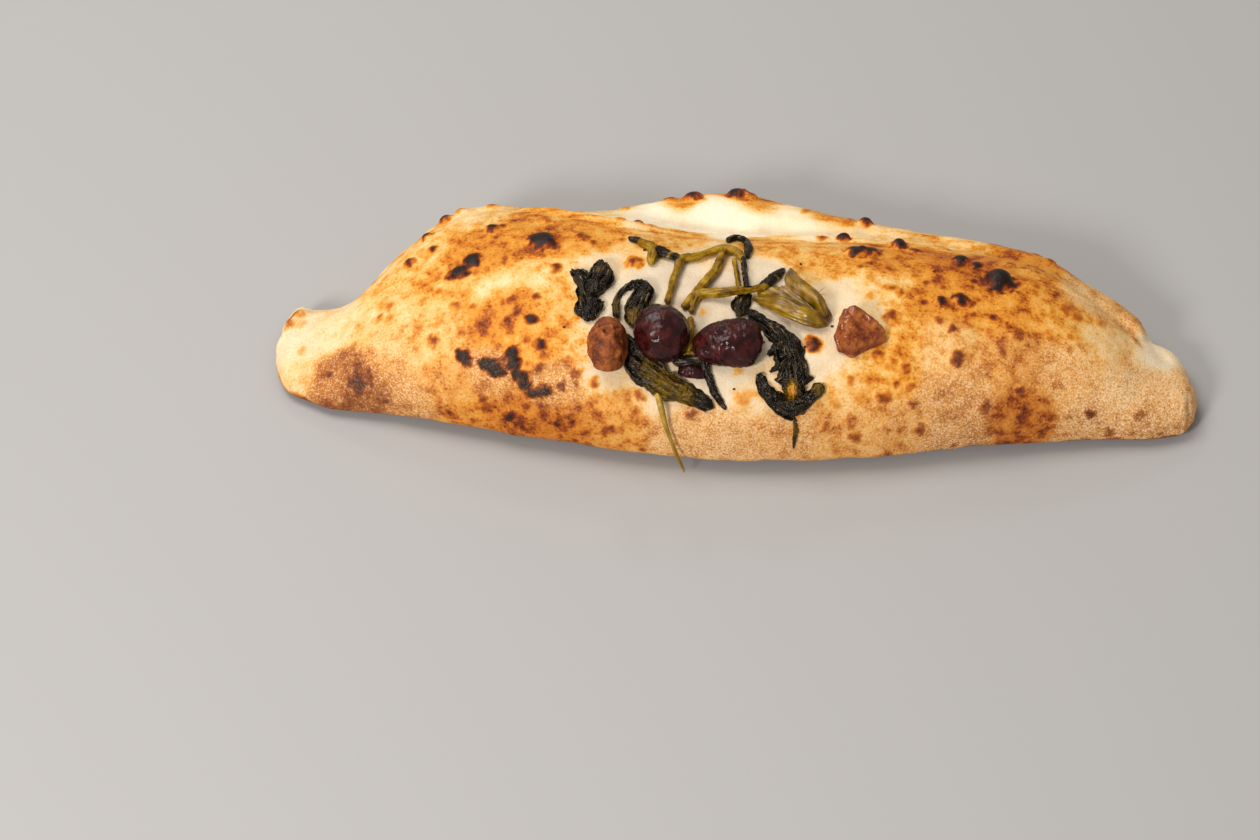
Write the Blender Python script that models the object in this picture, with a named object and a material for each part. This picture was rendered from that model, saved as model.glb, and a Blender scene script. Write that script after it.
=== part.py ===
"""A baked calzone, closed and uncut, with the toppings that lie on it.

The dough is a long pillow with a rolled seam along its back and two pinched tails.
Olives, wilted leaves and a forked stem rest in the middle of its top.
X runs along the calzone, Y from its front to its seam, and Z up from the flat base.
"""

import math

import bmesh
import bpy
from mathutils import Vector
from mathutils.bvhtree import BVHTree

MM = 0.001

# Driving dimensions of the dough, in millimetres.
TAIL_ROUNDING = 9.0
DOME_POWER = 2.3
BELLY_SHARE = 0.2
BASE_REACH = 1.35

# Ribs across the pillow from the left tail to the right one: x, front edge, back edge, height.
PILLOW_RIBS = (
    (-176, -35, -3, 11),
    (-163, -42, 0, 15),
    (-150, -47, 2, 18),
    (-138, -49, 13, 26),
    (-122, -51, 31, 36),
    (-100, -55, 44, 43),
    (-60, -62, 44, 46),
    (-5, -67, 35, 45),
    (48, -63, 34, 45),
    (98, -53, 30, 41),
    (120, -49, 25, 36),
    (140, -46, 9, 28),
    (158, -44, -4, 18),
    (176, -40, -16, 13),
)

# Ribs of the rolled seam, which runs along the back and ends in a blunt fold at the right.
SEAM_RIBS = (
    (-146, -20, 5, 16),
    (-128, -4, 26, 27),
    (-105, 14, 43, 34),
    (-60, 20, 43, 33),
    (-5, 24, 59, 33),
    (34, 20, 50, 31),
    (70, 16, 41, 31),
    (112, 4, 33, 31),
    (130, -4, 23, 27),
    (158, -16, 7, 19),
)

# Ribs of the folds that the pinched tails end in.
LEFT_FOLD_RIBS = (
    (-176, -20, -2, 11),
    (-168, -21, 1, 14),
    (-156, -25, -3, 14),
)
RIGHT_FOLD_RIBS = (
    (126, -28, 6, 20),
    (150, -28, 2, 17),
    (173, -28, -5, 13),
)

# Ribs of the bottom sheet, on which the pillow and the seam lie.
SHEET_RIBS = (
    (-150, -38, -6, 10),
    (-100, -46, 34, 13),
    (-5, -56, 44, 13),
    (60, -53, 38, 13),
    (112, -44, 24, 13),
    (158, -38, -4, 10),
)

# How far a topping's lowest points stay above the dough.
GAP = 0.5

# Olives: x, y and height of the middle, half sizes along, across and up, and the turn in degrees.
OLIVES = {
    "olive_dark_left": ((-24.1, -42.2, 47.5), (9.9, 11.4, 10.0), 20),
    "olive_brown": ((-43.5, -47.0, 44.0), (7.9, 12.4, 8.6), 4),
}

# The routes of the other toppings over the dough, each point with
# x, y, lift above the dough, half width and half thickness.
OLIVE_DARK_RIGHT = (
    (-13.3, -43.5, -2.6, 6.0, 5.2),
    (-6.0, -44.0, -2.6, 7.8, 6.4),
    (2.5, -44.5, -2.6, 8.2, 6.8),
    (12.6, -44.0, -2.6, 8.6, 6.6),
)
OLIVE_DARK_SCRAP = (
    (-17.5, -51.8, 0.5, 2.0, 1.2),
    (-12.5, -52.6, 0.5, 2.2, 1.8),
    (-7.5, -52.6, 0.5, 2.0, 1.4),
)
OLIVE_TORN_BODY = (
    (40.0, -40.5, -0.5, 4.5, 2.6),
    (48.0, -36.5, -0.5, 8.0, 4.6),
    (57.5, -34.5, -0.5, 3.0, 2.4),
)
OLIVE_TORN_PEAK = (
    (46.0, -27.5, -0.3, 3.0, 2.4),
    (47.5, -34.0, -0.3, 5.0, 4.4),
    (46.0, -43.0, -0.3, 4.0, 2.4),
)
LEAF_LEFT_BLADE = (
    (-60.0, -12.0, 0.6, 1.0, 0.8),
    (-57.0, -15.0, 0.6, 2.0, 1.2),
    (-54.5, -20.5, 0.6, 2.4, 1.6),
    (-53.0, -26.0, 0.6, 3.4, 1.8),
    (-52.0, -30.0, 0.6, 4.6, 2.0),
    (-51.5, -35.0, 0.6, 2.4, 1.2),
)
LEAF_LEFT_LOBE = (
    (-52.8, -25.5, 0.8, 2.4, 1.6),
    (-51.0, -21.5, 0.8, 3.2, 2.4),
    (-49.0, -16.5, 0.8, 4.6, 2.6),
    (-48.8, -11.5, 0.8, 3.6, 2.0),
    (-49.2, -7.0, 0.8, 1.2, 1.0),
)
LEAF_ARCH_THIN = (
    (-41.4, -32.5, 0.6, 1.1, 0.9),
    (-42.0, -26.0, 0.6, 1.2, 1.0),
    (-41.0, -20.5, 0.6, 1.4, 1.2),
    (-37.5, -17.8, 0.6, 1.8, 1.4),
)
LEAF_ARCH_THICK = (
    (-39.5, -18.5, 0.7, 1.4, 1.2),
    (-34.8, -17.5, 0.7, 1.9, 1.6),
    (-32.0, -20.5, 0.7, 2.4, 1.8),
    (-33.2, -25.5, 0.7, 3.0, 2.0),
    (-35.6, -30.5, 0.7, 3.0, 1.6),
)
LEAF_FRONT = (
    (-34.8, -49.0, 0.6, 2.0, 1.4),
    (-31.5, -51.8, 0.6, 4.2, 1.8),
    (-26.0, -54.4, 0.6, 4.8, 2.0),
    (-20.0, -57.2, 0.6, 4.4, 2.0),
    (-13.0, -58.8, 0.6, 3.2, 1.6),
    (-4.5, -61.0, 0.6, 2.2, 1.2),
)
LEAF_RIGHT_CLUMP = (
    (4.2, -20.5, 0.6, 2.4, 0.8),
    (3.4, -25.0, 0.6, 3.2, 1.2),
    (3.8, -32.5, 0.6, 2.4, 1.2),
)
LEAF_RIGHT_BLADE = (
    (5.0, -29.5, 0.8, 2.4, 1.2),
    (13.0, -34.5, 0.8, 3.2, 1.6),
    (18.8, -39.7, 0.8, 4.6, 2.2),
    (22.0, -44.7, 0.8, 5.0, 2.2),
    (24.2, -50.1, 0.8, 4.6, 2.0),
    (25.8, -59.5, 0.8, 4.6, 1.6),
)
LEAF_RIGHT_FOOT = (
    (12.4, -54.4, 0.6, 1.6, 1.2),
    (15.5, -57.6, 0.6, 3.0, 1.6),
    (20.5, -59.6, 0.6, 3.8, 1.8),
    (26.5, -59.8, 0.6, 4.0, 1.8),
    (31.4, -57.2, 0.6, 3.2, 1.6),
    (35.6, -52.8, 0.6, 1.8, 1.2),
)
LEAF_GREEN_LOWER = (
    (11.8, -22.6, 0.7, 1.8, 1.0),
    (18.0, -25.4, 0.7, 3.8, 2.2),
    (25.5, -29.2, 0.7, 4.6, 2.6),
    (32.3, -32.2, 0.7, 4.2, 2.2),
    (37.0, -31.6, 0.7, 1.8, 1.2),
)
LEAF_GREEN_UPPER = (
    (21.6, -7.4, 0.7, 1.0, 0.8),
    (22.8, -14.8, 0.7, 3.2, 1.8),
    (28.1, -20.8, 0.7, 3.6, 2.2),
    (33.0, -25.6, 0.7, 3.4, 2.0),
    (36.8, -31.2, 0.7, 2.0, 1.2),
)
STEM_ARCH = (
    (-23.4, -26.0, 0.6, 1.3, 1.2),
    (-22.5, -18.8, 0.6, 1.4, 1.3),
    (-21.0, -9.5, 0.6, 1.5, 1.4),
    (-19.5, -3.0, 0.8, 1.7, 1.4),
    (-15.2, -1.2, 0.9, 1.5, 1.3),
    (-9.4, 2.3, 1.0, 1.5, 1.3),
    (-4.4, 4.7, 1.0, 1.7, 1.5),
    (0.8, 2.2, 0.9, 1.6, 1.3),
    (3.4, -2.8, 0.6, 1.4, 1.2),
    (5.1, -10.9, 0.6, 1.2, 1.1),
    (6.4, -17.0, 1.0, 1.2, 1.1),
)
STEM_FORK = (
    (-3.9, 4.0, 1.0, 1.4, 1.3),
    (-5.7, -3.4, 0.9, 1.6, 1.4),
    (-7.2, -9.7, 0.8, 1.7, 1.5),
    (-11.1, -17.1, 0.7, 2.0, 1.6),
    (-15.1, -24.2, 0.6, 1.6, 1.3),
    (-17.4, -28.0, 0.6, 1.2, 1.1),
)
STEM_FORK_TAIL = (
    (-11.0, -17.5, 0.7, 1.5, 1.3),
    (-13.2, -24.7, 0.6, 1.4, 1.2),
    (-14.2, -30.0, 0.6, 1.1, 1.0),
)
STEM_CROSS = (
    (-13.2, -21.5, 0.8, 1.8, 1.4),
    (-7.9, -21.6, 1.2, 2.4, 1.6),
    (-2.0, -21.9, 2.6, 2.1, 1.5),
    (3.5, -20.9, 3.2, 1.6, 1.4),
    (8.2, -19.0, 2.4, 1.4, 1.3),
    (11.6, -16.4, 1.0, 1.4, 1.3),
    (14.5, -12.7, 0.7, 1.5, 1.3),
    (17.8, -8.3, 0.6, 0.9, 0.9),
)
STEM_SPRIG = (
    (-40.7, 8.2, 0.6, 0.9, 0.8),
    (-36.8, 6.7, 0.6, 1.3, 1.0),
    (-33.2, 4.2, 0.6, 1.8, 1.4),
    (-28.8, 1.3, 0.6, 2.4, 1.6),
    (-24.8, -0.4, 0.6, 2.0, 1.5),
    (-19.5, -3.4, 0.7, 1.7, 1.4),
)
STEM_SPRIG_BUD = (
    (-28.6, 3.6, 0.7, 1.8, 1.4),
    (-30.5, -1.0, 0.6, 2.2, 1.6),
    (-30.6, -6.4, 0.6, 1.5, 1.2),
)
# The front stem's points give their own heights in place of lifts: it hangs over the edge.
STEM_FRONT = (
    (-23.2, -63.2, 30.0, 1.1, 1.1),
    (-21.6, -66.2, 24.0, 1.1, 1.1),
    (-19.0, -68.4, 16.0, 1.0, 1.0),
    (-16.4, -69.8, 8.5, 0.9, 0.9),
    (-14.2, -71.2, 3.0, 0.7, 0.7),
)


# --- Shared shape rules ------------------------------------------------------------------------


def row_at(rows, key):
    """The values at a key, read from a smooth curve through rows that start with their keys."""
    last = len(rows) - 2
    place = next((i for i in range(last) if key < rows[i + 1][0]), last)
    before = rows[max(place - 1, 0)]
    left, right = rows[place], rows[place + 1]
    after = rows[min(place + 2, last + 1)]
    span = right[0] - left[0]
    share = min(max((key - left[0]) / span, 0.0), 1.0)
    s2, s3 = share**2, share**3
    values = []
    for k in range(1, len(left)):
        slope_in = (right[k] - before[k]) / (right[0] - before[0]) * span
        slope_out = (after[k] - left[k]) / (after[0] - left[0]) * span
        value = (2 * s3 - 3 * s2 + 1) * left[k] + (s3 - 2 * s2 + share) * slope_in
        values.append(value + (3 * s2 - 2 * s3) * right[k] + (s3 - s2) * slope_out)
    return values


def rounded_run(along, length, rounding):
    """How far along a length with round ends a share of it lies, and how wide it is there."""
    straight = length - 2 * rounding
    cap = rounding * math.pi / 2
    run = along * (straight + 2 * cap)
    middle = min(max(run - cap, 0.0), straight)
    turn = (run - cap - middle) / rounding
    return rounding + middle + rounding * math.sin(turn), math.cos(turn)


def roll_mesh(name, point_at, rings, sides):
    """A sphere laid out along a roll: its poles become the ends, its parallels the sections."""
    shape = bmesh.new()
    bmesh.ops.create_uvsphere(shape, u_segments=sides, v_segments=rings, radius=1.0)
    for vert in shape.verts:
        along = math.acos(max(-1.0, min(1.0, -vert.co.z))) / math.pi
        around = math.atan2(vert.co.y, vert.co.x)
        vert.co = point_at(along, around)
    mesh = bpy.data.meshes.new(name)
    shape.to_mesh(mesh)
    shape.free()
    mesh.shade_smooth()
    return bpy.data.objects.new(name, mesh)


def baked_material(name, colour, roughness):
    material = bpy.data.materials.new(name)
    material.use_nodes = True
    shader = material.node_tree.nodes["Principled BSDF"]
    shader.inputs["Base Color"].default_value = (*colour, 1.0)
    shader.inputs["Roughness"].default_value = roughness
    shader.inputs["Metallic"].default_value = 0.0
    return material


def as_node(piece, material):
    """Puts a piece among the calzone's parts, in its own material."""
    calzone.objects.link(piece)
    piece.data.materials.append(material)
    return piece


def as_helper(piece):
    """Puts a piece among the shapes that only join or cut others."""
    helpers.objects.link(piece)
    piece.hide_render = True
    piece.display_type = "WIRE"
    return piece


def combine(piece, other, operation):
    step = piece.modifiers.new(other.name, "BOOLEAN")
    step.operation = operation
    step.object = other
    step.use_self = operation == "UNION"


# --- The scene ---------------------------------------------------------------------------------

for old in list(bpy.data.objects):
    bpy.data.objects.remove(old)

calzone = bpy.data.collections.new("calzone")
helpers = bpy.data.collections.new("joined_shapes")
helpers.hide_render = True
for group in (calzone, helpers):
    bpy.context.scene.collection.children.link(group)

# --- The dough: one closed body, from the pillow, its seam and the folds of its tails -----------


def signed_power(value, power):
    return math.copysign(abs(value) ** power, value)


def dough_point(ribs, along, around):
    """A point of a dough roll: a domed top over a low belly, which runs in to the base."""
    first, last = ribs[0][0], ribs[-1][0]
    run, closing = rounded_run(along, last - first, TAIL_ROUNDING)
    front, back, height = row_at(ribs, first + run)
    belly = BELLY_SHARE * height
    reach = (back - front) / 2 * closing
    y = (front + back) / 2 + reach * signed_power(math.cos(around), 2 / DOME_POWER)
    rise = signed_power(math.sin(around), 2 / DOME_POWER) * closing
    if rise > 0:
        z = belly + (height - belly) * rise
    else:
        z = belly + BASE_REACH * belly * rise
    return Vector((first + run, y, z)) * MM


def dough_roll(name, ribs, rings, sides):
    return roll_mesh(name, lambda along, around: dough_point(ribs, along, around), rings, sides)


def table_slab():
    """What lies under the calzone: taken away from it, it leaves the flat base."""
    shape = bmesh.new()
    bmesh.ops.create_cube(shape, size=1.0)
    bmesh.ops.scale(shape, vec=Vector((0.5, 0.3, 0.1)), verts=shape.verts)
    bmesh.ops.translate(shape, vec=Vector((0.0, 0.0, -0.05)), verts=shape.verts)
    mesh = bpy.data.meshes.new("table_slab")
    shape.to_mesh(mesh)
    shape.free()
    return bpy.data.objects.new("table_slab", mesh)


crust = as_node(
    dough_roll("crust", PILLOW_RIBS, 48, 30),
    baked_material("baked_dough", (0.72, 0.42, 0.15), 0.7),
)
for helper in (
    dough_roll("bottom_sheet", SHEET_RIBS, 20, 14),
    dough_roll("seam", SEAM_RIBS, 28, 16),
    dough_roll("left_fold", LEFT_FOLD_RIBS, 12, 14),
    dough_roll("right_fold", RIGHT_FOLD_RIBS, 12, 14),
):
    combine(crust, as_helper(helper), "UNION")
combine(crust, as_helper(table_slab()), "DIFFERENCE")
bpy.context.view_layer.update()
ground = BVHTree.FromObject(crust, bpy.context.evaluated_depsgraph_get())

# --- Toppings ----------------------------------------------------------------------------------

SKY = 1.0
STEP = 0.5


def ground_at(x, y):
    """The point and the normal of the dough's top under a place given in millimetres."""
    place, normal, _, _ = ground.ray_cast(Vector((x * MM, y * MM, SKY)), Vector((0, 0, -1)))
    return place / MM, normal


def route_point(rows, rounding, draped, along, around):
    """A point of a strand with oval sections that follows its route over the dough."""
    run, closing = rounded_run(along, rows[-1][0], rounding)
    x, y, lift, half_width, half_thickness = row_at(rows, run)
    x_back, y_back = row_at(rows, run - STEP)[:2]
    x_on, y_on = row_at(rows, run + STEP)[:2]
    foot, normal = Vector((x, y, 0.0)), Vector((0, 0, 1))
    if draped:
        foot, normal = ground_at(x, y)
    heading = Vector((x_on - x_back, y_on - y_back, 0.0)).normalized()
    side = normal.cross(heading).normalized()
    middle = Vector((x, y, foot.z + lift + half_thickness))
    middle += side * (half_width * closing * math.cos(around))
    return (middle + normal * (half_thickness * closing * math.sin(around))) * MM


def strand(name, route, rings=10, sides=10, rounding=1.0, draped=True):
    """A strand along a route: x, y, lift, half width and half thickness at each of its points."""
    rows = []
    run = 0.0
    for k, point in enumerate(route):
        run += math.dist(point[:3], route[max(k - 1, 0)][:3])
        rows.append((run, *point))
    piece = roll_mesh(
        name,
        lambda along, around: route_point(rows, rounding, draped, along, around),
        rings,
        sides,
    )
    if draped:
        settle(piece)
    return piece


def settle(piece):
    """Lifts every point that would sink into the dough to just above it."""
    for vert in piece.data.vertices:
        foot, _ = ground_at(vert.co.x / MM, vert.co.y / MM)
        vert.co.z = max(vert.co.z, (foot.z + GAP) * MM)


def olive(name, middle, half_sizes, turn):
    """A whole olive, flattened where it rests on the dough."""
    heading = math.radians(turn)

    def point_at(along, around):
        ring = math.sin(math.pi * along)
        x = -math.cos(math.pi * along) * half_sizes[0]
        y = math.cos(around) * ring * half_sizes[1]
        z = math.sin(around) * ring * half_sizes[2]
        turned_x = x * math.cos(heading) - y * math.sin(heading)
        turned_y = x * math.sin(heading) + y * math.cos(heading)
        return (Vector(middle) + Vector((turned_x, turned_y, z))) * MM

    piece = roll_mesh(name, point_at, 14, 16)
    settle(piece)
    return piece


def joined(name, parts):
    """One topping from strands that run into each other."""
    piece, *others = parts
    piece.name = name
    for other in others:
        combine(piece, as_helper(other), "UNION")
    return piece


dark_flesh = baked_material("dark_olive", (0.03, 0.012, 0.015), 0.3)
brown_flesh = baked_material("brown_olive", (0.3, 0.1, 0.04), 0.45)
wilted = baked_material("wilted_leaf", (0.02, 0.022, 0.012), 0.5)
tender = baked_material("tender_leaf", (0.24, 0.2, 0.03), 0.4)
stalk = baked_material("green_stem", (0.24, 0.18, 0.04), 0.4)

as_node(olive("olive_dark_left", *OLIVES["olive_dark_left"]), dark_flesh.copy())
as_node(olive("olive_brown", *OLIVES["olive_brown"]), brown_flesh.copy())
as_node(
    strand("olive_dark_right", OLIVE_DARK_RIGHT, rings=14, sides=16, rounding=7.0),
    dark_flesh.copy(),
)
as_node(strand("olive_dark_scrap", OLIVE_DARK_SCRAP, rounding=1.5), dark_flesh.copy())
as_node(
    joined(
        "olive_torn",
        [
            strand("olive_torn_body", OLIVE_TORN_BODY, rounding=2.5),
            strand("olive_torn_peak", OLIVE_TORN_PEAK, rounding=2.5),
        ],
    ),
    brown_flesh.copy(),
)
as_node(
    joined(
        "leaf_left",
        [
            strand("leaf_left_blade", LEAF_LEFT_BLADE),
            strand("leaf_left_lobe", LEAF_LEFT_LOBE),
        ],
    ),
    wilted.copy(),
)
as_node(
    joined(
        "leaf_arch",
        [
            strand("leaf_arch_thick", LEAF_ARCH_THICK),
            strand("leaf_arch_thin", LEAF_ARCH_THIN, sides=8),
        ],
    ),
    wilted.copy(),
)
as_node(strand("leaf_front", LEAF_FRONT, rings=14), wilted.copy())
as_node(
    joined(
        "leaf_right",
        [
            strand("leaf_right_blade", LEAF_RIGHT_BLADE, rings=14),
            strand("leaf_right_clump", LEAF_RIGHT_CLUMP),
            strand("leaf_right_foot", LEAF_RIGHT_FOOT),
        ],
    ),
    wilted.copy(),
)
as_node(
    joined(
        "leaf_green",
        [
            strand("leaf_green_lower", LEAF_GREEN_LOWER),
            strand("leaf_green_upper", LEAF_GREEN_UPPER),
        ],
    ),
    tender.copy(),
)
as_node(
    joined(
        "stem_forked",
        [
            strand("stem_arch", STEM_ARCH, rings=20, sides=8),
            strand("stem_fork", STEM_FORK, sides=8),
            strand("stem_fork_tail", STEM_FORK_TAIL, rings=6, sides=8),
            strand("stem_cross", STEM_CROSS, rings=14, sides=8),
            strand("stem_sprig", STEM_SPRIG, sides=8),
            strand("stem_sprig_bud", STEM_SPRIG_BUD, rings=6, sides=8),
        ],
    ),
    stalk.copy(),
)
as_node(
    strand("stem_front", STEM_FRONT, rings=10, sides=8, rounding=0.6, draped=False),
    stalk.copy(),
)
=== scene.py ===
"""A baked calzone, closed and uncut, with its toppings, on a plain studio floor.

X runs along the calzone, Y from its front to its seam, and Z up from the flat base.
Sizes are in millimetres where a name doesn't say otherwise.
"""

import math

import bmesh
import bpy
import numpy as np
from mathutils import Euler, Matrix, Vector, noise
from mathutils.bvhtree import BVHTree


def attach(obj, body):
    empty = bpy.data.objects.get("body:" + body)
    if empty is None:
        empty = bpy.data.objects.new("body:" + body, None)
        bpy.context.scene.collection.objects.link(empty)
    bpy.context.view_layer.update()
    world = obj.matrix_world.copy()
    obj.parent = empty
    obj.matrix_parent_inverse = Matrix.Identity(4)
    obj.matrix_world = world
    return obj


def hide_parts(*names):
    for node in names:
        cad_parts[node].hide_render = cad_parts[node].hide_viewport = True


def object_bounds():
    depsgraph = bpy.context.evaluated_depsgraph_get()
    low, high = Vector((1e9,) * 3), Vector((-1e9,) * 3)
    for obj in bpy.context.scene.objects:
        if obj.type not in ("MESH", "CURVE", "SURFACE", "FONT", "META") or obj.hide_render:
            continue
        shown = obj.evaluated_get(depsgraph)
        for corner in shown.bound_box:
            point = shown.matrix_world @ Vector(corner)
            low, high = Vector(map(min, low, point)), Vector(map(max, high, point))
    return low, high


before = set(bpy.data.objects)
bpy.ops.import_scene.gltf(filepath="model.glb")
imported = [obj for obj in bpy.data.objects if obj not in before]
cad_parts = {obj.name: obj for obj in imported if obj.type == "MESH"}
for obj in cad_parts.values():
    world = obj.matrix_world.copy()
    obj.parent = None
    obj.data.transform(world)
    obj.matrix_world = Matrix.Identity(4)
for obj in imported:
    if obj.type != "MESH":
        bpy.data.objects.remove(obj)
cad_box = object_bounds()

# --- The dough -----------------------------------------------------------------------------------
# One round of wheat dough, folded over its filling, rolled shut along the back and pinched into
# a tail at each end. It was baked on stone in a hot oven: cream where it stayed moist, golden
# and freckled where it dried, charred where it blew up into bubbles.

MM = 0.001
TAIL_ROUNDING = 9.0
DOME_POWER = 2.3
BELLY_SHARE = 0.2
BASE_REACH = 1.35
SKIN_CELL = 0.98
SKIN_SMOOTHINGS = 5
TUCK = 3.4
SPOT_WARP = 0.55
SPOT_DEPTH = 1.05
END_TRIM = 1.6

# Ribs of the rolls that make up the dough: x, front edge, back edge, height.
PILLOW_RIBS = (
    (-176, -35, -3, 11),
    (-163, -42, 0, 15),
    (-150, -47, 2, 18),
    (-138, -49, 13, 26),
    (-122, -51, 31, 36),
    (-100, -55, 44, 43),
    (-60, -62, 44, 46),
    (-5, -67, 35, 45),
    (48, -63, 34, 45),
    (98, -53, 30, 41),
    (120, -49, 25, 36),
    (140, -46, 9, 28),
    (158, -44, -4, 18),
    (176, -40, -16, 13),
)
SEAM_RIBS = (
    (-146, -20, 5, 16),
    (-128, -4, 26, 27),
    (-105, 14, 43, 34),
    (-60, 20, 43, 33),
    (-5, 24, 59, 33),
    (34, 20, 50, 31),
    (70, 16, 41, 31),
    (112, 4, 33, 31),
    (130, -4, 23, 27),
    (158, -16, 7, 19),
)
LEFT_FOLD_RIBS = (
    (-176, -20, -2, 11),
    (-168, -21, 1, 14),
    (-156, -25, -3, 14),
)
RIGHT_FOLD_RIBS = (
    (126, -28, 6, 20),
    (150, -28, 2, 17),
    (173, -28, -5, 13),
)
SHEET_RIBS = (
    (-150, -38, -6, 10),
    (-100, -46, 34, 13),
    (-5, -56, 44, 13),
    (60, -53, 38, 13),
    (112, -44, 24, 13),
    (158, -38, -4, 10),
)

# The oven's work on the dough, zone by zone: x, y, z, reach, browning from 0 to 1, how floury
# and how moist it stayed.
BAKED_ZONES = (
    (-166, -20, 12, 13, 0.10, 0.4, 0.2),
    (-164, -36, 10, 9, 0.18, 0.4, 0.0),
    (-150, -16, 18, 12, 0.16, 0.3, 0.0),
    (-148, -43, 10, 11, 0.56, 0.8, 0.0),
    (-134, -46, 14, 13, 0.62, 0.9, 0.0),
    (-118, -50, 12, 11, 0.39, 0.8, 0.0),
    (-126, -38, 26, 11, 0.30, 0.6, 0.0),
    (-130, -24, 30, 12, 0.28, 0.2, 0.0),
    (-134, -8, 26, 13, 0.28, 0.0, 0.0),
    (-112, -34, 34, 12, 0.30, 0.2, 0.0),
    (-104, -50, 20, 10, 0.42, 0.3, 0.0),
    (-96, -55, 12, 11, 0.48, 0.1, 0.0),
    (-118, 12, 34, 13, 0.28, 0.0, 0.0),
    (-100, 30, 36, 14, 0.22, 0.0, 0.0),
    (-108, -14, 40, 12, 0.36, 0.0, 0.0),
    (-96, -2, 43, 12, 0.49, 0.0, 0.0),
    (-90, -17, 43, 8, 0.16, 0.0, 0.0),
    (-84, -30, 42, 11, 0.48, 0.0, 0.0),
    (-78, 8, 44, 15, 0.46, 0.0, 0.0),
    (-72, 24, 42, 12, 0.40, 0.0, 0.0),
    (-72, -14, 45, 10, 0.24, 0.0, 0.0),
    (-70, -40, 40, 11, 0.41, 0.0, 0.0),
    (-86, -50, 28, 8, 0.40, 0.7, 0.0),
    (-80, -57, 14, 11, 0.57, 0.1, 0.0),
    (-60, -60, 14, 12, 0.59, 0.1, 0.0),
    (-62, -55, 29, 9, 0.40, 0.8, 0.0),
    (-46, -8, 46, 9, 0.16, 0.0, 0.5),
    (-52, 10, 45, 10, 0.42, 0.0, 0.0),
    (-34, 10, 44, 11, 0.30, 0.0, 0.1),
    (-62, -28, 45, 7, 0.36, 0.0, 0.2),
    (-54, -44, 40, 7, 0.26, 0.0, 0.4),
    (-44, -24, 46, 11, 0.06, 0.0, 1.0),
    (-22, -18, 46, 14, 0.06, 0.0, 1.0),
    (-4, -26, 45, 13, 0.07, 0.0, 1.0),
    (10, -12, 45, 12, 0.08, 0.0, 0.9),
    (20, -30, 45, 12, 0.06, 0.0, 1.0),
    (-8, 4, 43, 10, 0.18, 0.0, 0.5),
    (-46, -52, 36, 8, 0.16, 0.1, 0.6),
    (-22, -58, 30, 9, 0.12, 0.3, 0.5),
    (-2, -50, 38, 10, 0.08, 0.0, 1.0),
    (12, -56, 32, 9, 0.18, 0.2, 0.5),
    (34, -44, 40, 9, 0.12, 0.1, 0.7),
    (40, -20, 45, 9, 0.12, 0.0, 0.5),
    (-40, -62, 18, 12, 0.42, 0.2, 0.0),
    (-14, -65, 18, 13, 0.30, 0.8, 0.0),
    (0, -66, 8, 14, 0.30, 1.0, 0.0),
    (18, -64, 18, 13, 0.34, 0.8, 0.0),
    (46, -60, 20, 12, 0.36, 0.4, 0.0),
    (44, -53, 34, 9, 0.26, 0.1, 0.0),
    (30, 4, 43, 12, 0.36, 0.0, 0.0),
    (10, 14, 41, 11, 0.36, 0.0, 0.0),
    (-20, 15, 41, 10, 0.34, 0.0, 0.0),
    (58, 6, 42, 13, 0.46, 0.0, 0.0),
    (56, -10, 44, 10, 0.26, 0.0, 0.0),
    (52, -24, 43, 8, 0.20, 0.0, 0.2),
    (64, -34, 42, 9, 0.36, 0.0, 0.0),
    (60, -46, 36, 9, 0.36, 0.0, 0.0),
    (64, -57, 18, 11, 0.40, 0.5, 0.0),
    (78, -14, 43, 12, 0.48, 0.0, 0.0),
    (84, 8, 39, 13, 0.58, 0.0, 0.0),
    (80, -36, 39, 11, 0.30, 0.4, 0.0),
    (84, -49, 28, 12, 0.38, 0.8, 0.0),
    (84, -53, 10, 13, 0.40, 1.0, 0.0),
    (100, -18, 40, 12, 0.45, 0.0, 0.0),
    (104, -36, 35, 11, 0.42, 0.4, 0.0),
    (108, -50, 16, 13, 0.60, 0.2, 0.0),
    (110, 2, 37, 12, 0.42, 0.0, 0.0),
    (122, -16, 34, 11, 0.38, 0.0, 0.0),
    (124, -36, 30, 11, 0.33, 0.7, 0.0),
    (134, -46, 12, 13, 0.32, 1.0, 0.0),
    (138, -22, 27, 11, 0.24, 0.3, 0.0),
    (144, -34, 20, 11, 0.22, 0.9, 0.0),
    (158, -14, 17, 8, 0.06, 0.3, 0.0),
    (164, -32, 14, 11, 0.24, 0.9, 0.0),
    (160, -42, 8, 11, 0.36, 1.0, 0.0),
    (130, 4, 31, 8, 0.26, 0.6, 0.0),
    (144, 2, 23, 8, 0.30, 0.6, 0.0),
    (-60, 34, 34, 10, 0.16, 0.0, 0.0),
    (-38, 34, 34, 12, 0.02, 0.0, 0.0),
    (-8, 34, 33, 14, 0.00, 0.0, 0.0),
    (24, 32, 31, 13, 0.06, 0.0, 0.0),
    (56, 29, 31, 11, 0.16, 0.0, 0.0),
    (84, 24, 31, 11, 0.26, 0.0, 0.0),
    (-48, 42, 31, 10, 0.38, 0.0, 0.0),
    (-24, 47, 32, 9, 0.50, 0.0, 0.0),
    (4, 50, 32, 10, 0.54, 0.0, 0.0),
    (34, 44, 31, 10, 0.48, 0.0, 0.0),
    (-80, 46, 22, 16, 0.30, 0.1, 0.0),
    (0, 58, 18, 18, 0.34, 0.3, 0.0),
    (64, 38, 27, 12, 0.30, 0.1, 0.0),
    (108, 26, 27, 12, 0.50, 0.0, 0.0),
    (-120, 26, 16, 16, 0.26, 0.1, 0.0),
)

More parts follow.
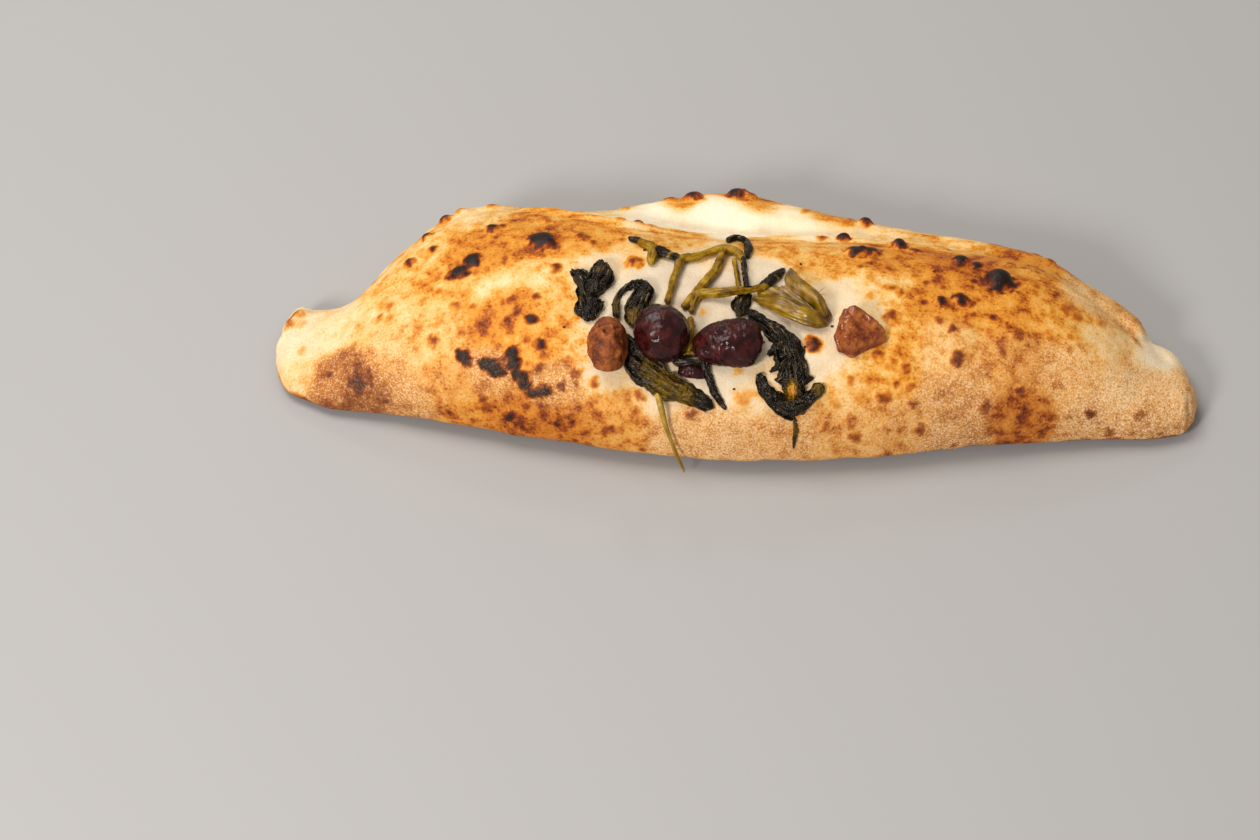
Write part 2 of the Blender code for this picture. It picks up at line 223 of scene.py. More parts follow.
# Blisters and freckles: x, y, z, radius, how dark the middle is and how high it blew up.
SPOTS = (
    (98, -1, 41, 5.6, 1.15, 4.4),
    (98, -2, 41, 7.4, 1.10, 0.0),
    (84, 9, 39, 3.8, 1.12, 2.4),
    (90, 7, 39, 2.8, 1.02, 1.0),
    (45, 9, 42, 4.4, 1.16, 1.9),
    (50, 10, 42, 4.4, 1.14, 1.5),
    (61, 18, 38, 3.4, 1.16, 2.6),
    (67, 15, 39, 3.4, 0.84, 0.8),
    (40, 22, 36, 2.8, 1.08, 2.0),
    (32, 21, 38, 2.4, 0.73, 0.6),
    (84, -14, 43, 3.4, 1.08, 1.4),
    (77, -16, 43, 3.0, 0.98, 0.9),
    (88, -16, 42, 2.4, 0.75, 0.4),
    (-73, 5, 45, 5.6, 1.18, 1.8),
    (-69, 3, 45, 3.2, 0.96, 0.5),
    (-98, -5, 43, 4.2, 1.12, 1.5),
    (-102, -11, 42, 4.2, 1.12, 1.4),
    (-106, -12, 42, 2.6, 0.75, 0.4),
    (-93, 14, 42, 3.0, 1.00, 1.3),
    (-89, 15, 42, 2.2, 0.78, 0.5),
    (-98, -44, 33, 3.0, 1.04, 1.0),
    (-96, -46, 32, 2.8, 1.02, 0.9),
    (-89, -47, 32, 3.0, 1.12, 1.2),
    (-87, -48, 32, 3.2, 1.12, 0.8),
    (-84, -49, 31, 3.4, 1.12, 1.3),
    (-78, -48, 34, 3.2, 1.10, 0.8),
    (-75, -52, 31, 3.2, 1.10, 0.8),
    (-68, -56, 28, 3.0, 1.08, 0.8),
    (-79, -45, 36, 3.4, 1.10, 1.2),
    (-82, -46, 34, 2.4, 0.82, 0.5),
    (-77, -51, 32, 3.0, 1.12, 1.2),
    (-74, -54, 29, 3.0, 1.10, 1.2),
    (-71, -56, 27, 2.8, 1.06, 1.0),
    (-66, -56, 28, 3.0, 1.08, 1.0),
    (-73, -33, 42, 2.8, 1.06, 1.2),
    (-69, -43, 39, 2.8, 0.98, 0.9),
    (-69, -50, 34, 3.2, 0.73, 0.8),
    (-80, -58, 16, 3.0, 0.96, 0.8),
    (-66, -10, 46, 2.8, 0.77, 0.8),
    (-58, 8, 45, 3.4, 0.73, 0.9),
    (-54, 5, 45, 2.6, 0.70, 0.6),
    (-72, -24, 44, 2.6, 0.77, 0.6),
    (-81, -25, 43, 2.6, 0.73, 0.6),
    (-82, -33, 41, 2.6, 0.75, 0.5),
    (-88, -31, 41, 3.4, 0.61, 0.3),
    (-102, -26, 40, 2.8, 0.63, 0.5),
    (-96, -27, 41, 2.2, 0.59, 0.3),
    (-82, -5, 45, 2.6, 0.54, 0.3),
    (-37, -5, 46, 3.2, 0.78, 0.9),
    (-74, 21, 41, 3.2, 0.56, 0.5),
    (-109, -38, 34, 2.8, 0.70, 0.5),
    (-99, -37, 37, 2.4, 0.59, 0.3),
    (-90, -55, 21, 2.6, 0.73, 0.4),
    (-74, -58, 22, 2.4, 0.70, 0.3),
    (-68, -59, 22, 2.4, 0.64, 0.3),
    (-115, 6, 38, 2.4, 0.90, 1.2),
    (-119, 17, 33, 2.8, 0.96, 1.8),
    (-123, 1, 34, 2.8, 0.92, 1.5),
    (-113, 28, 31, 3.0, 0.98, 2.0),
    (-108, 33, 32, 2.4, 0.63, 1.0),
    (-96, 36, 33, 3.2, 0.56, 0.8),
    (-106, 10, 41, 2.0, 0.49, 0.4),
    (-128, -20, 32, 2.6, 0.54, 0.4),
    (-132, -24, 30, 2.2, 0.63, 0.5),
    (-138, -45, 16, 8.0, 0.86, 0.0),
    (-137, -44, 17, 4.4, 0.90, 0.0),
    (-129, -48, 13, 5.6, 0.61, 0.0),
    (-150, -46, 5, 4.6, 0.63, 0.0),
    (-143, -47, 5, 4.6, 0.68, 0.0),
    (-162, -29, 14, 2.4, 0.40, 0.3),
    (-165, -14, 14, 2.6, 0.35, 0.4),
    (-170, -13, 12, 2.6, 0.57, 0.5),
    (-167, -9, 14, 2.6, 0.52, 0.5),
    (-55, -52, 34, 3.0, 0.68, 0.6),
    (-60, -55, 30, 2.4, 0.71, 0.4),
    (-48, -55, 33, 2.4, 0.66, 0.5),
    (-58, -61, 20, 2.6, 0.70, 0.4),
    (-52, -62, 14, 2.8, 0.70, 0.4),
    (-61, -61, 10, 3.0, 0.70, 0.3),
    (-66, -60, 14, 2.4, 0.63, 0.3),
    (-41, -63, 18, 3.0, 0.73, 0.6),
    (-30, -64, 12, 3.4, 0.50, 0.3),
    (-31, -58, 30, 2.6, 0.63, 0.6),
    (-12, -62, 26, 3.2, 0.71, 0.7),
    (-10, -28, 44, 2.6, 0.40, 0.3),
    (6, -58, 31, 4.0, 0.43, 0.3),
    (10, -57, 32, 2.6, 0.40, 0.2),
    (4, -51, 38, 2.4, 0.40, 0.3),
    (20, -64, 20, 4.2, 0.54, 0.2),
    (14, -64, 22, 3.0, 0.47, 0.2),
    (37, -62, 22, 3.4, 0.68, 0.5),
    (31, -40, 42, 3.2, 0.96, 1.0),
    (55, -41, 40, 2.6, 0.73, 0.6),
    (60, -43, 39, 2.4, 0.64, 0.3),
    (65, -45, 37, 2.8, 0.68, 0.5),
    (45, -51, 36, 2.4, 0.59, 0.4),
    (62, -50, 34, 1.8, 0.70, 0.3),
    (67, -50, 33, 2.2, 0.63, 0.3),
    (57, -54, 31, 3.2, 0.71, 0.5),
    (68, -54, 28, 3.0, 0.68, 0.4),
    (71, -57, 18, 3.2, 0.71, 0.3),
    (46, -60, 24, 3.0, 0.64, 0.4),
    (47, -62, 17, 3.0, 0.66, 0.3),
    (59, -26, 44, 3.4, 0.77, 0.8),
    (76, -25, 42, 2.4, 0.71, 0.5),
    (81, -28, 41, 2.6, 0.82, 0.7),
    (57, -1, 44, 2.4, 0.70, 0.5),
    (74, 2, 42, 3.0, 0.68, 0.5),
    (67, -4, 43, 2.6, 0.63, 0.5),
    (58, -12, 44, 2.8, 0.70, 0.6),
    (62, -14, 44, 2.4, 0.64, 0.4),
    (69, -13, 44, 3.0, 0.63, 0.4),
    (51, -17, 45, 2.2, 0.45, 0.2),
    (103, 12, 36, 2.8, 0.68, 0.5),
    (108, 10, 36, 2.8, 0.64, 0.5),
    (110, 1, 38, 2.2, 0.56, 0.3),
    (119, -3, 36, 2.4, 0.59, 0.5),
    (123, -10, 35, 3.2, 0.66, 0.5),
    (127, -12, 33, 2.8, 0.63, 0.5),
    (136, -11, 29, 2.8, 0.54, 0.4),
    (150, -10, 21, 2.8, 0.54, 0.5),
    (105, -27, 38, 3.0, 0.66, 0.6),
    (95, -27, 40, 2.6, 0.54, 0.3),
    (124, -28, 33, 2.2, 0.54, 0.3),
    (84, -39, 37, 4.0, 0.78, 0.5),
    (107, -45, 27, 3.0, 0.82, 0.4),
    (94, -50, 24, 3.2, 0.73, 0.3),
    (133, -45, 17, 3.0, 0.80, 0.4),
    (151, -42, 14, 3.4, 0.61, 0.3),
    (141, -46, 8, 3.0, 0.63, 0.0),
    (78, -50, 29, 3.4, 0.54, 0.2),
    (86, -48, 29, 2.8, 0.47, 0.2),
    (121, -41, 27, 2.4, 0.56, 0.2),
    (170, -27, 12, 2.4, 0.52, 0.3),
    (-19, 47, 32, 4.0, 1.00, 2.0),
    (-2, 50, 32, 4.2, 1.06, 2.6),
    (3, 49, 31, 3.4, 0.78, 1.4),
    (-28, 45, 32, 3.2, 0.63, 1.0),
    (-45, 40, 32, 3.0, 0.49, 0.6),
    (-62, 36, 32, 3.4, 0.43, 0.4),
    (25, 42, 30, 2.6, 0.56, 0.3),
    (48, 38, 30, 3.0, 1.06, 2.4),
    (42, 40, 30, 2.2, 0.63, 0.6),
    (-38, 25, 38, 2.4, 0.96, 1.8),
    (-33, 23, 38, 2.8, 0.71, 0.6),
    (-45, 23, 40, 2.6, 0.63, 0.6),
    (113, 25, 27, 3.0, 0.66, 0.6),
    (118, 22, 28, 3.0, 0.75, 0.9),
    (134, 9, 26, 2.4, 0.49, 0.5),
    (151, 0, 20, 3.6, 0.45, 0.4),
)

# Where the dough was stretched while it was folded: lines of x, y, z along which it browned in
# streaks, and was raised or creased.
RIDGE_LIP = (
    ((-82, 31, 38), (-66, 27, 39), (-51, 23, 41), (-33, 21, 41), (-15, 22, 39), (-1, 24, 36)),
    ((12, 22, 37), (26, 21, 37), (40, 23, 36), (50, 22, 37), (61, 21, 37), (78, 22, 35)),
)
SEAM_CREST = ((-60, 36, 32), (-28, 45, 32), (0, 50, 31), (24, 43, 30), (48, 39, 30), (80, 33, 29))
TAIL_LIP = ((-176, -20, 8), (-173, -13, 12), (-166, -8, 15), (-159, -6, 16))
LEFT_GROOVE = ((-103, 24, 38), (-113, 8, 38), (-120, -4, 36), (-127, -13, 32))
FLANK_LIP = ((118, 7, 36), (130, 3, 31), (141, 0, 26), (150, -3, 21), (156, -7, 18))
TAIL_FOLDS = (
    ((169, -42, 5), (167, -36, 12), (166, -28, 14), (168, -20, 12)),
    ((173, -40, 5), (171, -34, 11), (170, -27, 12), (172, -21, 10)),
)


def row_at(rows, key):
    """The values at a key, read from a smooth curve through rows that start with their keys."""
    last = len(rows) - 2
    place = next((i for i in range(last) if key < rows[i + 1][0]), last)
    before = rows[max(place - 1, 0)]
    left, right = rows[place], rows[place + 1]
    after = rows[min(place + 2, last + 1)]
    span = right[0] - left[0]
    share = min(max((key - left[0]) / span, 0.0), 1.0)
    s2, s3 = share**2, share**3
    values = []
    for k in range(1, len(left)):
        slope_in = (right[k] - before[k]) / (right[0] - before[0]) * span
        slope_out = (after[k] - left[k]) / (after[0] - left[0]) * span
        value = (2 * s3 - 3 * s2 + 1) * left[k] + (s3 - 2 * s2 + share) * slope_in
        values.append(value + (3 * s2 - 2 * s3) * right[k] + (s3 - s2) * slope_out)
    return values


def rounded_run(along, length, rounding):
    """How far along a length with round ends a share of it lies, and how wide it is there."""
    straight = length - 2 * rounding
    cap = rounding * math.pi / 2
    run = along * (straight + 2 * cap)
    middle = min(max(run - cap, 0.0), straight)
    turn = (run - cap - middle) / rounding
    return rounding + middle + rounding * math.sin(turn), math.cos(turn)


def signed_power(value, power):
    return math.copysign(abs(value) ** power, value)


def dough_point(ribs, along, around):
    """A point of a dough roll: a domed top over a low belly, which runs in to the base."""
    first, last = ribs[0][0], ribs[-1][0]
    run, closing = rounded_run(along, last - first, TAIL_ROUNDING)
    front, back, height = row_at(ribs, first + run)
    belly = BELLY_SHARE * height
    reach = (back - front) / 2 * closing
    y = (front + back) / 2 + reach * signed_power(math.cos(around), 2 / DOME_POWER)
    rise = signed_power(math.sin(around), 2 / DOME_POWER) * closing
    if rise > 0:
        z = belly + (height - belly) * rise
    else:
        z = belly + BASE_REACH * belly * rise
    return Vector((first + run, y, z)) * MM


def add_roll(shape, point_at, rings, sides):
    """Adds a sphere laid out along a roll: its poles become the ends, its rings the sections."""
    made = bmesh.ops.create_uvsphere(shape, u_segments=sides, v_segments=rings, radius=1.0)
    for vert in made["verts"]:
        along = math.acos(max(-1.0, min(1.0, -vert.co.z))) / math.pi
        around = math.atan2(vert.co.y, vert.co.x)
        vert.co = point_at(along, around)


def as_piece(name, shape):
    """An object at the origin from a finished bmesh."""
    mesh = bpy.data.meshes.new(name)
    shape.to_mesh(mesh)
    shape.free()
    mesh.shade_smooth()
    piece = bpy.data.objects.new(name, mesh)
    bpy.context.scene.collection.objects.link(piece)
    return piece


def fuse(piece, cell, smoothings):
    """Gives overlapping rolls one closed skin of even cells, and softens where they meet."""
    step = piece.modifiers.new("skin", "REMESH")
    step.mode = "VOXEL"
    step.voxel_size = cell * MM
    graph = bpy.context.evaluated_depsgraph_get()
    skin = bpy.data.meshes.new_from_object(piece.evaluated_get(graph))
    piece.modifiers.clear()
    piece.data = skin
    shape = bmesh.new()
    shape.from_mesh(skin)
    for _ in range(smoothings):
        bmesh.ops.smooth_vert(
            shape, verts=shape.verts, factor=0.5, use_axis_x=True, use_axis_y=True, use_axis_z=True
        )
    shape.to_mesh(skin)
    shape.free()
    skin.shade_smooth()


def points_of(piece):
    """The corners of a mesh in millimetres, and which way each faces."""
    count = len(piece.data.vertices)
    points = np.empty(count * 3)
    facings = np.empty(count * 3, np.float32)
    piece.data.vertices.foreach_get("co", points)
    piece.data.vertex_normals.foreach_get("vector", facings)
    return points.reshape(-1, 3) / MM, facings.reshape(-1, 3).astype(float)


def put_points(piece, points):
    piece.data.vertices.foreach_set("co", (points * MM).ravel())
    piece.data.update()


def lumps(points, size, octaves, seed):
    """A smooth random height from -1 to 1 at each point, with bumps about size apart."""
    offset = Vector((seed * 7.3, seed * 3.1, seed * 5.7))
    return np.array(
        [noise.fractal(Vector(p) / size + offset, 1.0, 2.0, octaves) for p in points]
    )


def soft_step(values, low, high):
    share = np.clip((values - low) / (high - low), 0, 1)
    return share * share * (3 - 2 * share)


def off_line(points, line):
    """How far each point is from a line of points."""
    nearest = np.full(len(points), 1e9)
    for start, end in zip(line, line[1:]):
        start, step = np.array(start, float), np.array(end, float) - np.array(start, float)
        share = np.clip((points - start) @ step / (step @ step), 0, 1)
        away = np.linalg.norm(points - start - share[:, None] * step, axis=1)
        nearest = np.minimum(nearest, away)
    return nearest


def mark(piece, name, values):
    """Stores a number at every corner of a mesh, for its material to read."""
    stored = piece.data.attributes.new(name, "FLOAT", "POINT")
    stored.data.foreach_set("value", values.astype(np.float32))


rolls = bmesh.new()
for ribs, rings, sides in (
    (PILLOW_RIBS, 120, 72),
    (SEAM_RIBS, 90, 40),
    (SHEET_RIBS, 60, 32),
    (LEFT_FOLD_RIBS, 24, 28),
    (RIGHT_FOLD_RIBS, 28, 28),
):
    add_roll(rolls, lambda along, around, r=ribs: dough_point(r, along, around), rings, sides)
crust = as_piece("crust_skin", rolls)
fuse(crust, SKIN_CELL, SKIN_SMOOTHINGS)

points, facings = points_of(crust)
wide = lumps(points, 34, 2, 1)
middle = lumps(points, 13, 2, 2)
small = lumps(points, 4.5, 3, 3)
on_top = soft_step(points[:, 2], 1.0, 6.0)
tucked = 1 - soft_step(points[:, 2], 0.0, 4.0)

total = np.full(len(points), 1e-6)
browning_and_shade = total * 0.3
floury = total * 0.2
moist = total * 0.0
for x, y, z, reach, brown, flour, wet in BAKED_ZONES:
    away = np.linalg.norm(points - (x, y, z), axis=1) / reach
    weight = np.exp(-2.2 * away**2) + 1e-4 / (1 + away**4)
    total += weight
    browning_and_shade += weight * brown
    floury += weight * flour
    moist += weight * wet
browning_and_shade /= total
floury /= total
moist /= total
# Darker towards the floor: partly the real browning of the base on the stone, partly painted shade
# where the dough meets the floor.
floor_edge_browning_and_shade = 1 - soft_step(points[:, 2] + 1.5 * small, 0.5, 4.5)
browning_and_shade += 0.3 * floor_edge_browning_and_shade

warp = [lumps(points, 2.6, 2, seed) for seed in (5, 6, 7)]
warp = np.stack(warp, axis=1)
char_and_shade = 0.62 * (1 - soft_step(off_line(points, TAIL_LIP), 0.4, 1.8))
rise = 0.7 * wide + 0.45 * middle + 0.12 * small
for x, y, z, radius, depth, height in SPOTS:
    away = np.linalg.norm(points - (x, y, z), axis=1) / radius
    round_off = np.clip(1 - (away / 0.95) ** 2, 0, 1) ** 0.6
    away = np.linalg.norm((points - (x, y, z)) / radius + SPOT_WARP * warp, axis=1)
    char_and_shade = np.maximum(char_and_shade, SPOT_DEPTH * depth * (1 - soft_step(away, 0.15, 1.8)))
    rise += height * round_off

lines = [off_line(points, line) for line in RIDGE_LIP]
for line, away in zip(RIDGE_LIP, lines):
    rise += 1.7 * (1 - soft_step(away, 0.0, 4.0))
    behind = [(x, y + 6, z - 3) for x, y, z in line]
    rise -= 1.7 * (1 - soft_step(off_line(points, behind), 0.0, 5.0))
crest_away = off_line(points, SEAM_CREST)
drawn = 1 - soft_step(np.minimum(np.minimum(*lines), crest_away), 4.0, 13.0)
rise += 1.4 * (1 - soft_step(off_line(points, TAIL_LIP), 0.0, 4.0))
rise -= 0.9 * (1 - soft_step(off_line(points, LEFT_GROOVE), 0.0, 4.0))
rise += 1.1 * (1 - soft_step(off_line(points, FLANK_LIP), 0.0, 4.0))
for line in TAIL_FOLDS:
    rise -= 0.9 * (1 - soft_step(off_line(points, line), 0.0, 1.8))
# The lowest few millimetres go dark brown to black: partly the char of the base, partly a painted
# contact shadow along the floor.
contact_char_and_shade = 1 - soft_step(points[:, 2] + 1.5 * middle + small, 3.0, 7.0)
char_and_shade = np.maximum(char_and_shade, 0.72 * contact_char_and_shade)
points += facings * (rise * on_top)[:, None]
points[:, 0] += END_TRIM * (soft_step(-points[:, 0], 162, 176) - soft_step(points[:, 0], 160, 176))
points[:, :2] -= facings[:, :2] * (TUCK * tucked)[:, None]
lowest, highest = (np.array(corner) / MM for corner in cad_box)
low_edge = np.array((lowest[0], -67.0, 0.0))
points = np.clip(points, low_edge, highest)
points[points[:, 2] < 0.35, 2] = 0.0
put_points(crust, points)
mark(crust, "browning_and_shade", browning_and_shade)
mark(crust, "floury", floury)
mark(crust, "moist", moist)
mark(crust, "char_and_shade", char_and_shade)
mark(crust, "drawn", drawn)


def shown(red, green, blue):
    """A colour as it is seen on a screen, 0 to 255, as the light that a material takes."""
    tints = [c / 255 for c in (red, green, blue)]
    return (*(c / 12.92 if c <= 0.04045 else ((c + 0.055) / 1.055) ** 2.4 for c in tints), 1.0)


def new_finish(name):
    """A material with a Principled shader, its nodes, and a way to add to them."""
    material = bpy.data.materials.new(name)
    material.use_nodes = True
    return material, material.node_tree, material.node_tree.nodes["Principled BSDF"]


def add(tree, kind, inputs, **settings):
    """Adds a shader node. An input takes a number, a colour or what another node gives."""
    made = tree.nodes.new(kind)
    for name, value in settings.items():
        setattr(made, name, value)
    for socket, value in inputs.items():
        if isinstance(value, bpy.types.NodeSocket):
            tree.links.new(value, made.inputs[socket])
        else:
            made.inputs[socket].default_value = value
    return made


def sums(tree, operation, first, second, third=0.5):
    inputs = {0: first, 1: second, 2: third}
    return add(tree, "ShaderNodeMath", inputs, operation=operation).outputs[0]


def blend(tree, share, first, second, way="MIX"):
    """Two colours mixed by a share from 0 to 1."""
    made = add(
        tree, "ShaderNodeMix", {0: share, 6: first, 7: second}, data_type="RGBA", blend_type=way
    )
    made.clamp_factor = True
    return made.outputs[2]


def read(tree, name):
    return add(tree, "ShaderNodeAttribute", {}, attribute_name=name).outputs["Fac"]


def clouds(tree, size, detail=3.0, roughness=0.55, shift=0.0, stretch=1.0):
    """Soft random patches from 0 to 1, about size millimetres across, drawn out along X."""
    place = add(tree, "ShaderNodeTexCoord", {}).outputs["Object"]
    inputs = {"Vector": place, "Location": (shift, shift, shift), "Scale": (1 / stretch, 1, 1)}
    moved = add(tree, "ShaderNodeMapping", inputs)
    inputs = {"Vector": moved.outputs[0], "Scale": 1 / (size * MM), "Detail": detail}
    inputs["Roughness"] = roughness
    return add(tree, "ShaderNodeTexNoise", inputs).outputs["Fac"]


def window(tree, value, low, high, bottom=0.0, top=1.0):
    """A value remapped smoothly from a low and high mark to a bottom and top."""
    inputs = {"Value": value, "From Min": low, "From Max": high, "To Min": bottom, "To Max": top}
    made = add(tree, "ShaderNodeMapRange", inputs, interpolation_type="SMOOTHSTEP")
    return made.outputs[0]


def ramp(tree, value, stops):
    """A colour from a row of (place, colour) stops."""
    made = add(tree, "ShaderNodeValToRGB", {"Fac": value})
    row = made.color_ramp.elements
    while len(row) < len(stops):
        row.new(0.5)
    for element, (place, colour) in zip(row, stops):
        element.position = place
        element.color = colour
    return made.outputs[0]


GOLDEN_BAKE = (
    (0.00, shown(249, 235, 208)),
    (0.12, shown(247, 217, 166)),
    (0.25, shown(239, 188, 107)),
    (0.38, shown(227, 153, 52)),
    (0.52, shown(205, 119, 26)),
    (0.66, shown(160, 74, 10)),
    (0.80, shown(98, 38, 12)),
    (1.00, shown(34, 21, 16)),
)
FLOURY_BAKE = (
    (0.00, shown(242, 216, 176)),
    (0.14, shown(240, 195, 136)),
    (0.28, shown(228, 169, 102)),
    (0.42, shown(202, 136, 66)),
    (0.56, shown(166, 98, 38)),
    (0.70, shown(126, 62, 24)),
    (0.85, shown(78, 34, 18)),
    (1.00, shown(32, 22, 18)),
)

FRECKLE_APART = 6.0

material, tree, shader = new_finish("baked_dough")
# The browning read here includes painted shade along the dough's lowest edge, where it meets the
# floor.
browning_and_shade = read(tree, "browning_and_shade")
# The char read here includes a painted contact shadow along the base, as well as the real char of
# blisters and lips.
char_and_shade = read(tree, "char_and_shade")
floury = read(tree, "floury")
moist = read(tree, "moist")
drawn = read(tree, "drawn")
blotch = clouds(tree, 4.6, 3.0, 0.5)
streak = clouds(tree, 2.6, 3.0, 0.5, 2.0, 4.5)
patch = clouds(tree, 9.0, 2.0, 0.5, 3.0)
fleck = clouds(tree, 1.1, 3.0, 0.6, 7.0)
grain = clouds(tree, 0.7, 2.0, 0.6, 11.0)
mottle = add(tree, "ShaderNodeMix", {0: drawn, 2: blotch, 3: streak}).outputs[0]
crisp = window(tree, mottle, 0.36, 0.66)
mottle = sums(tree, "MULTIPLY_ADD", sums(tree, "SUBTRACT", crisp, 0.5), 0.05, mottle)
swing = add(tree, "ShaderNodeMix", {0: drawn, 2: 0.8, 3: 1.05}).outputs[0]
swing = sums(tree, "MULTIPLY", sums(tree, "SUBTRACT", mottle, 0.48), swing)
swing = sums(tree, "MULTIPLY_ADD", sums(tree, "SUBTRACT", patch, 0.5), 0.55, swing)
swing = sums(tree, "MULTIPLY_ADD", sums(tree, "SUBTRACT", fleck, 0.5), 0.44, swing)
freckled = window(tree, browning_and_shade, 0.05, 0.35, 0.2, 1.0)
freckled = sums(tree, "MULTIPLY", freckled, window(tree, floury, 0.2, 1.0, 1.0, 0.5))
swing = sums(tree, "MAXIMUM", swing, sums(tree, "MULTIPLY", swing, 0.45))
level = sums(tree, "MULTIPLY_ADD", swing, freckled, sums(tree, "SUBTRACT", browning_and_shade, 0.025))
cell = add(tree, "ShaderNodeTexVoronoi", {"Scale": 1 / (FRECKLE_APART * MM), "Randomness": 1.0})
tree.links.new(add(tree, "ShaderNodeTexCoord", {}).outputs["Object"], cell.inputs["Vector"])
wobble = sums(tree, "SUBTRACT", fleck, 0.5)
wobble = sums(tree, "MULTIPLY_ADD", wobble, 0.5, cell.outputs["Distance"])
chosen = add(tree, "ShaderNodeSeparateColor", {"Color": cell.outputs["Color"]}).outputs[0]
freckle = window(tree, wobble, 0.08, 0.34, 1.0, 0.0)
freckle = sums(tree, "MULTIPLY", freckle, window(tree, chosen, 0.35, 0.95))
freckle = sums(tree, "MULTIPLY", freckle, window(tree, browning_and_shade, 0.16, 0.4))
level = sums(tree, "MULTIPLY_ADD", freckle, 0.28, level)
speckle = sums(tree, "MULTIPLY", window(tree, fleck, 0.54, 0.66), freckled)
level = sums(tree, "MULTIPLY_ADD", speckle, 0.07, level)
edge = sums(tree, "MULTIPLY", char_and_shade, sums(tree, "SUBTRACT", 1.3, char_and_shade))
ragged = sums(tree, "MULTIPLY", sums(tree, "SUBTRACT", fleck, 0.5), edge)
ragged = sums(tree, "MULTIPLY_ADD", sums(tree, "SUBTRACT", blotch, 0.5), edge, ragged)
# This carries the real char and the painted contact shadow into the dough's colour.
scorch_and_shade = sums(tree, "MULTIPLY_ADD", ragged, 0.7, char_and_shade)
level = sums(tree, "SMOOTH_MAX", level, scorch_and_shade, 0.12)
golden = ramp(tree, level, GOLDEN_BAKE)
dusty = ramp(tree, level, FLOURY_BAKE)
dough = blend(tree, floury, golden, dusty)
unburnt = sums(tree, "MULTIPLY", window(tree, level, 0.4, 0.7, 1.0, 0.2), floury)
dust = sums(tree, "MULTIPLY", window(tree, grain, 0.5, 0.64), unburnt)
dough = blend(tree, sums(tree, "MULTIPLY", dust, 0.62), dough, shown(250, 226, 192))
crumbs = sums(tree, "MULTIPLY", window(tree, grain, 0.47, 0.34), floury)
dough = blend(tree, sums(tree, "MULTIPLY", crumbs, 0.64), dough, shown(142, 84, 46))
wet = sums(tree, "MULTIPLY", moist, window(tree, patch, 0.3, 0.65, 0.6, 0.85))
wet = sums(tree, "MULTIPLY", wet, window(tree, level, 0.12, 0.4, 1.0, 0.0))
pale = blend(tree, blotch, shown(228, 210, 184), shown(200, 176, 148))
dough = blend(tree, wet, dough, pale)
tree.links.new(dough, shader.inputs["Base Color"])
gloss = window(tree, level, 0.2, 0.6, 0.62, 0.5)
gloss = sums(tree, "MULTIPLY", gloss, window(tree, level, 0.8, 1.0, 1.0, 0.7))
gloss = sums(tree, "MULTIPLY_ADD", floury, 0.2, gloss)
tree.links.new(sums(tree, "MULTIPLY_ADD", moist, -0.14, gloss), shader.inputs["Roughness"])
shader.inputs["Specular IOR Level"].default_value = 0.2
height = sums(tree, "MULTIPLY_ADD", fleck, 0.8, sums(tree, "MULTIPLY", grain, 0.55))
bump = add(tree, "ShaderNodeBump", {"Height": height, "Distance": 0.4 * MM, "Strength": 0.8})
tree.links.new(bump.outputs[0], shader.inputs["Normal"])
crust.data.materials.clear()
crust.data.materials.append(material)
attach(crust, "root")
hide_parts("crust")

# --- The dark olives -----------------------------------------------------------------------------
# Two whole black olives, pitted and wrinkled by the oven, and a scrap of skin from a third. Their
# wet skin shines. They sank a little into the dough while it was soft.

SKY = 1.0
STEP = 0.5
SLOPE_REACH = 2.5
GAP = 0.15

bpy.context.view_layer.update()
ground = BVHTree.FromObject(crust, bpy.context.evaluated_depsgraph_get())

OLIVE_DARK_LEFT = ((-24.1, -42.2, 47.1), (9.8, 11.4, 9.7), 20)
OLIVE_DARK_RIGHT = (
    (-13.0, -44.4, -2.6, 5.2, 4.8),
    (-6.4, -44.2, -2.6, 7.0, 6.2),
    (2.0, -44.0, -2.6, 8.6, 6.9),
    (12.8, -43.6, -2.6, 8.8, 6.6),
)
OLIVE_SCRAP = (
    (-17.5, -51.8, 0.2, 2.0, 1.2),
    (-12.5, -52.6, 0.2, 2.2, 1.8),
    (-7.5, -52.6, 0.2, 2.0, 1.4),
)


def height_at(x, y):
    place = ground.ray_cast(Vector((x * MM, y * MM, SKY)), Vector((0, 0, -1)))[0]
    return place.z / MM if place else 0.0


def lie_at(x, y):
    """The dough's height at a place, and which way it faces there on the whole."""
    lean = (height_at(x - SLOPE_REACH, y) - height_at(x + SLOPE_REACH, y)) / (2 * SLOPE_REACH)
    drop = (height_at(x, y - SLOPE_REACH) - height_at(x, y + SLOPE_REACH)) / (2 * SLOPE_REACH)
    return height_at(x, y), Vector((lean, drop, 1.0)).normalized()


def with_runs(route):
    """A route's points, each led by how far along the route it lies."""
    rows = []
    run = 0.0
    for k, point in enumerate(route):
        run += math.dist(point[:3], route[max(k - 1, 0)][:3])
        rows.append((run, *point))
    return rows


def section_at(rows, run, draped):
    """The middle of a strand's section, its side and upward directions and its half sizes."""
    x, y, lift, half_width, half_thickness = row_at(rows, run)
    x_back, y_back = row_at(rows, run - STEP)[:2]
    x_on, y_on = row_at(rows, run + STEP)[:2]
    height, up = lie_at(x, y) if draped else (0.0, Vector((0, 0, 1)))
    heading = Vector((x_on - x_back, y_on - y_back, 0.0)).normalized()
    side = up.cross(heading).normalized()
    middle = Vector((x, y, height + lift + half_thickness))
    return middle, side, up, half_width, half_thickness


def settle(verts, gap=GAP):
    """Lifts every corner that would sink into the dough to just above it."""
    for vert in verts:
        vert.co.z = max(vert.co.z, (height_at(vert.co.x / MM, vert.co.y / MM) + gap) * MM)


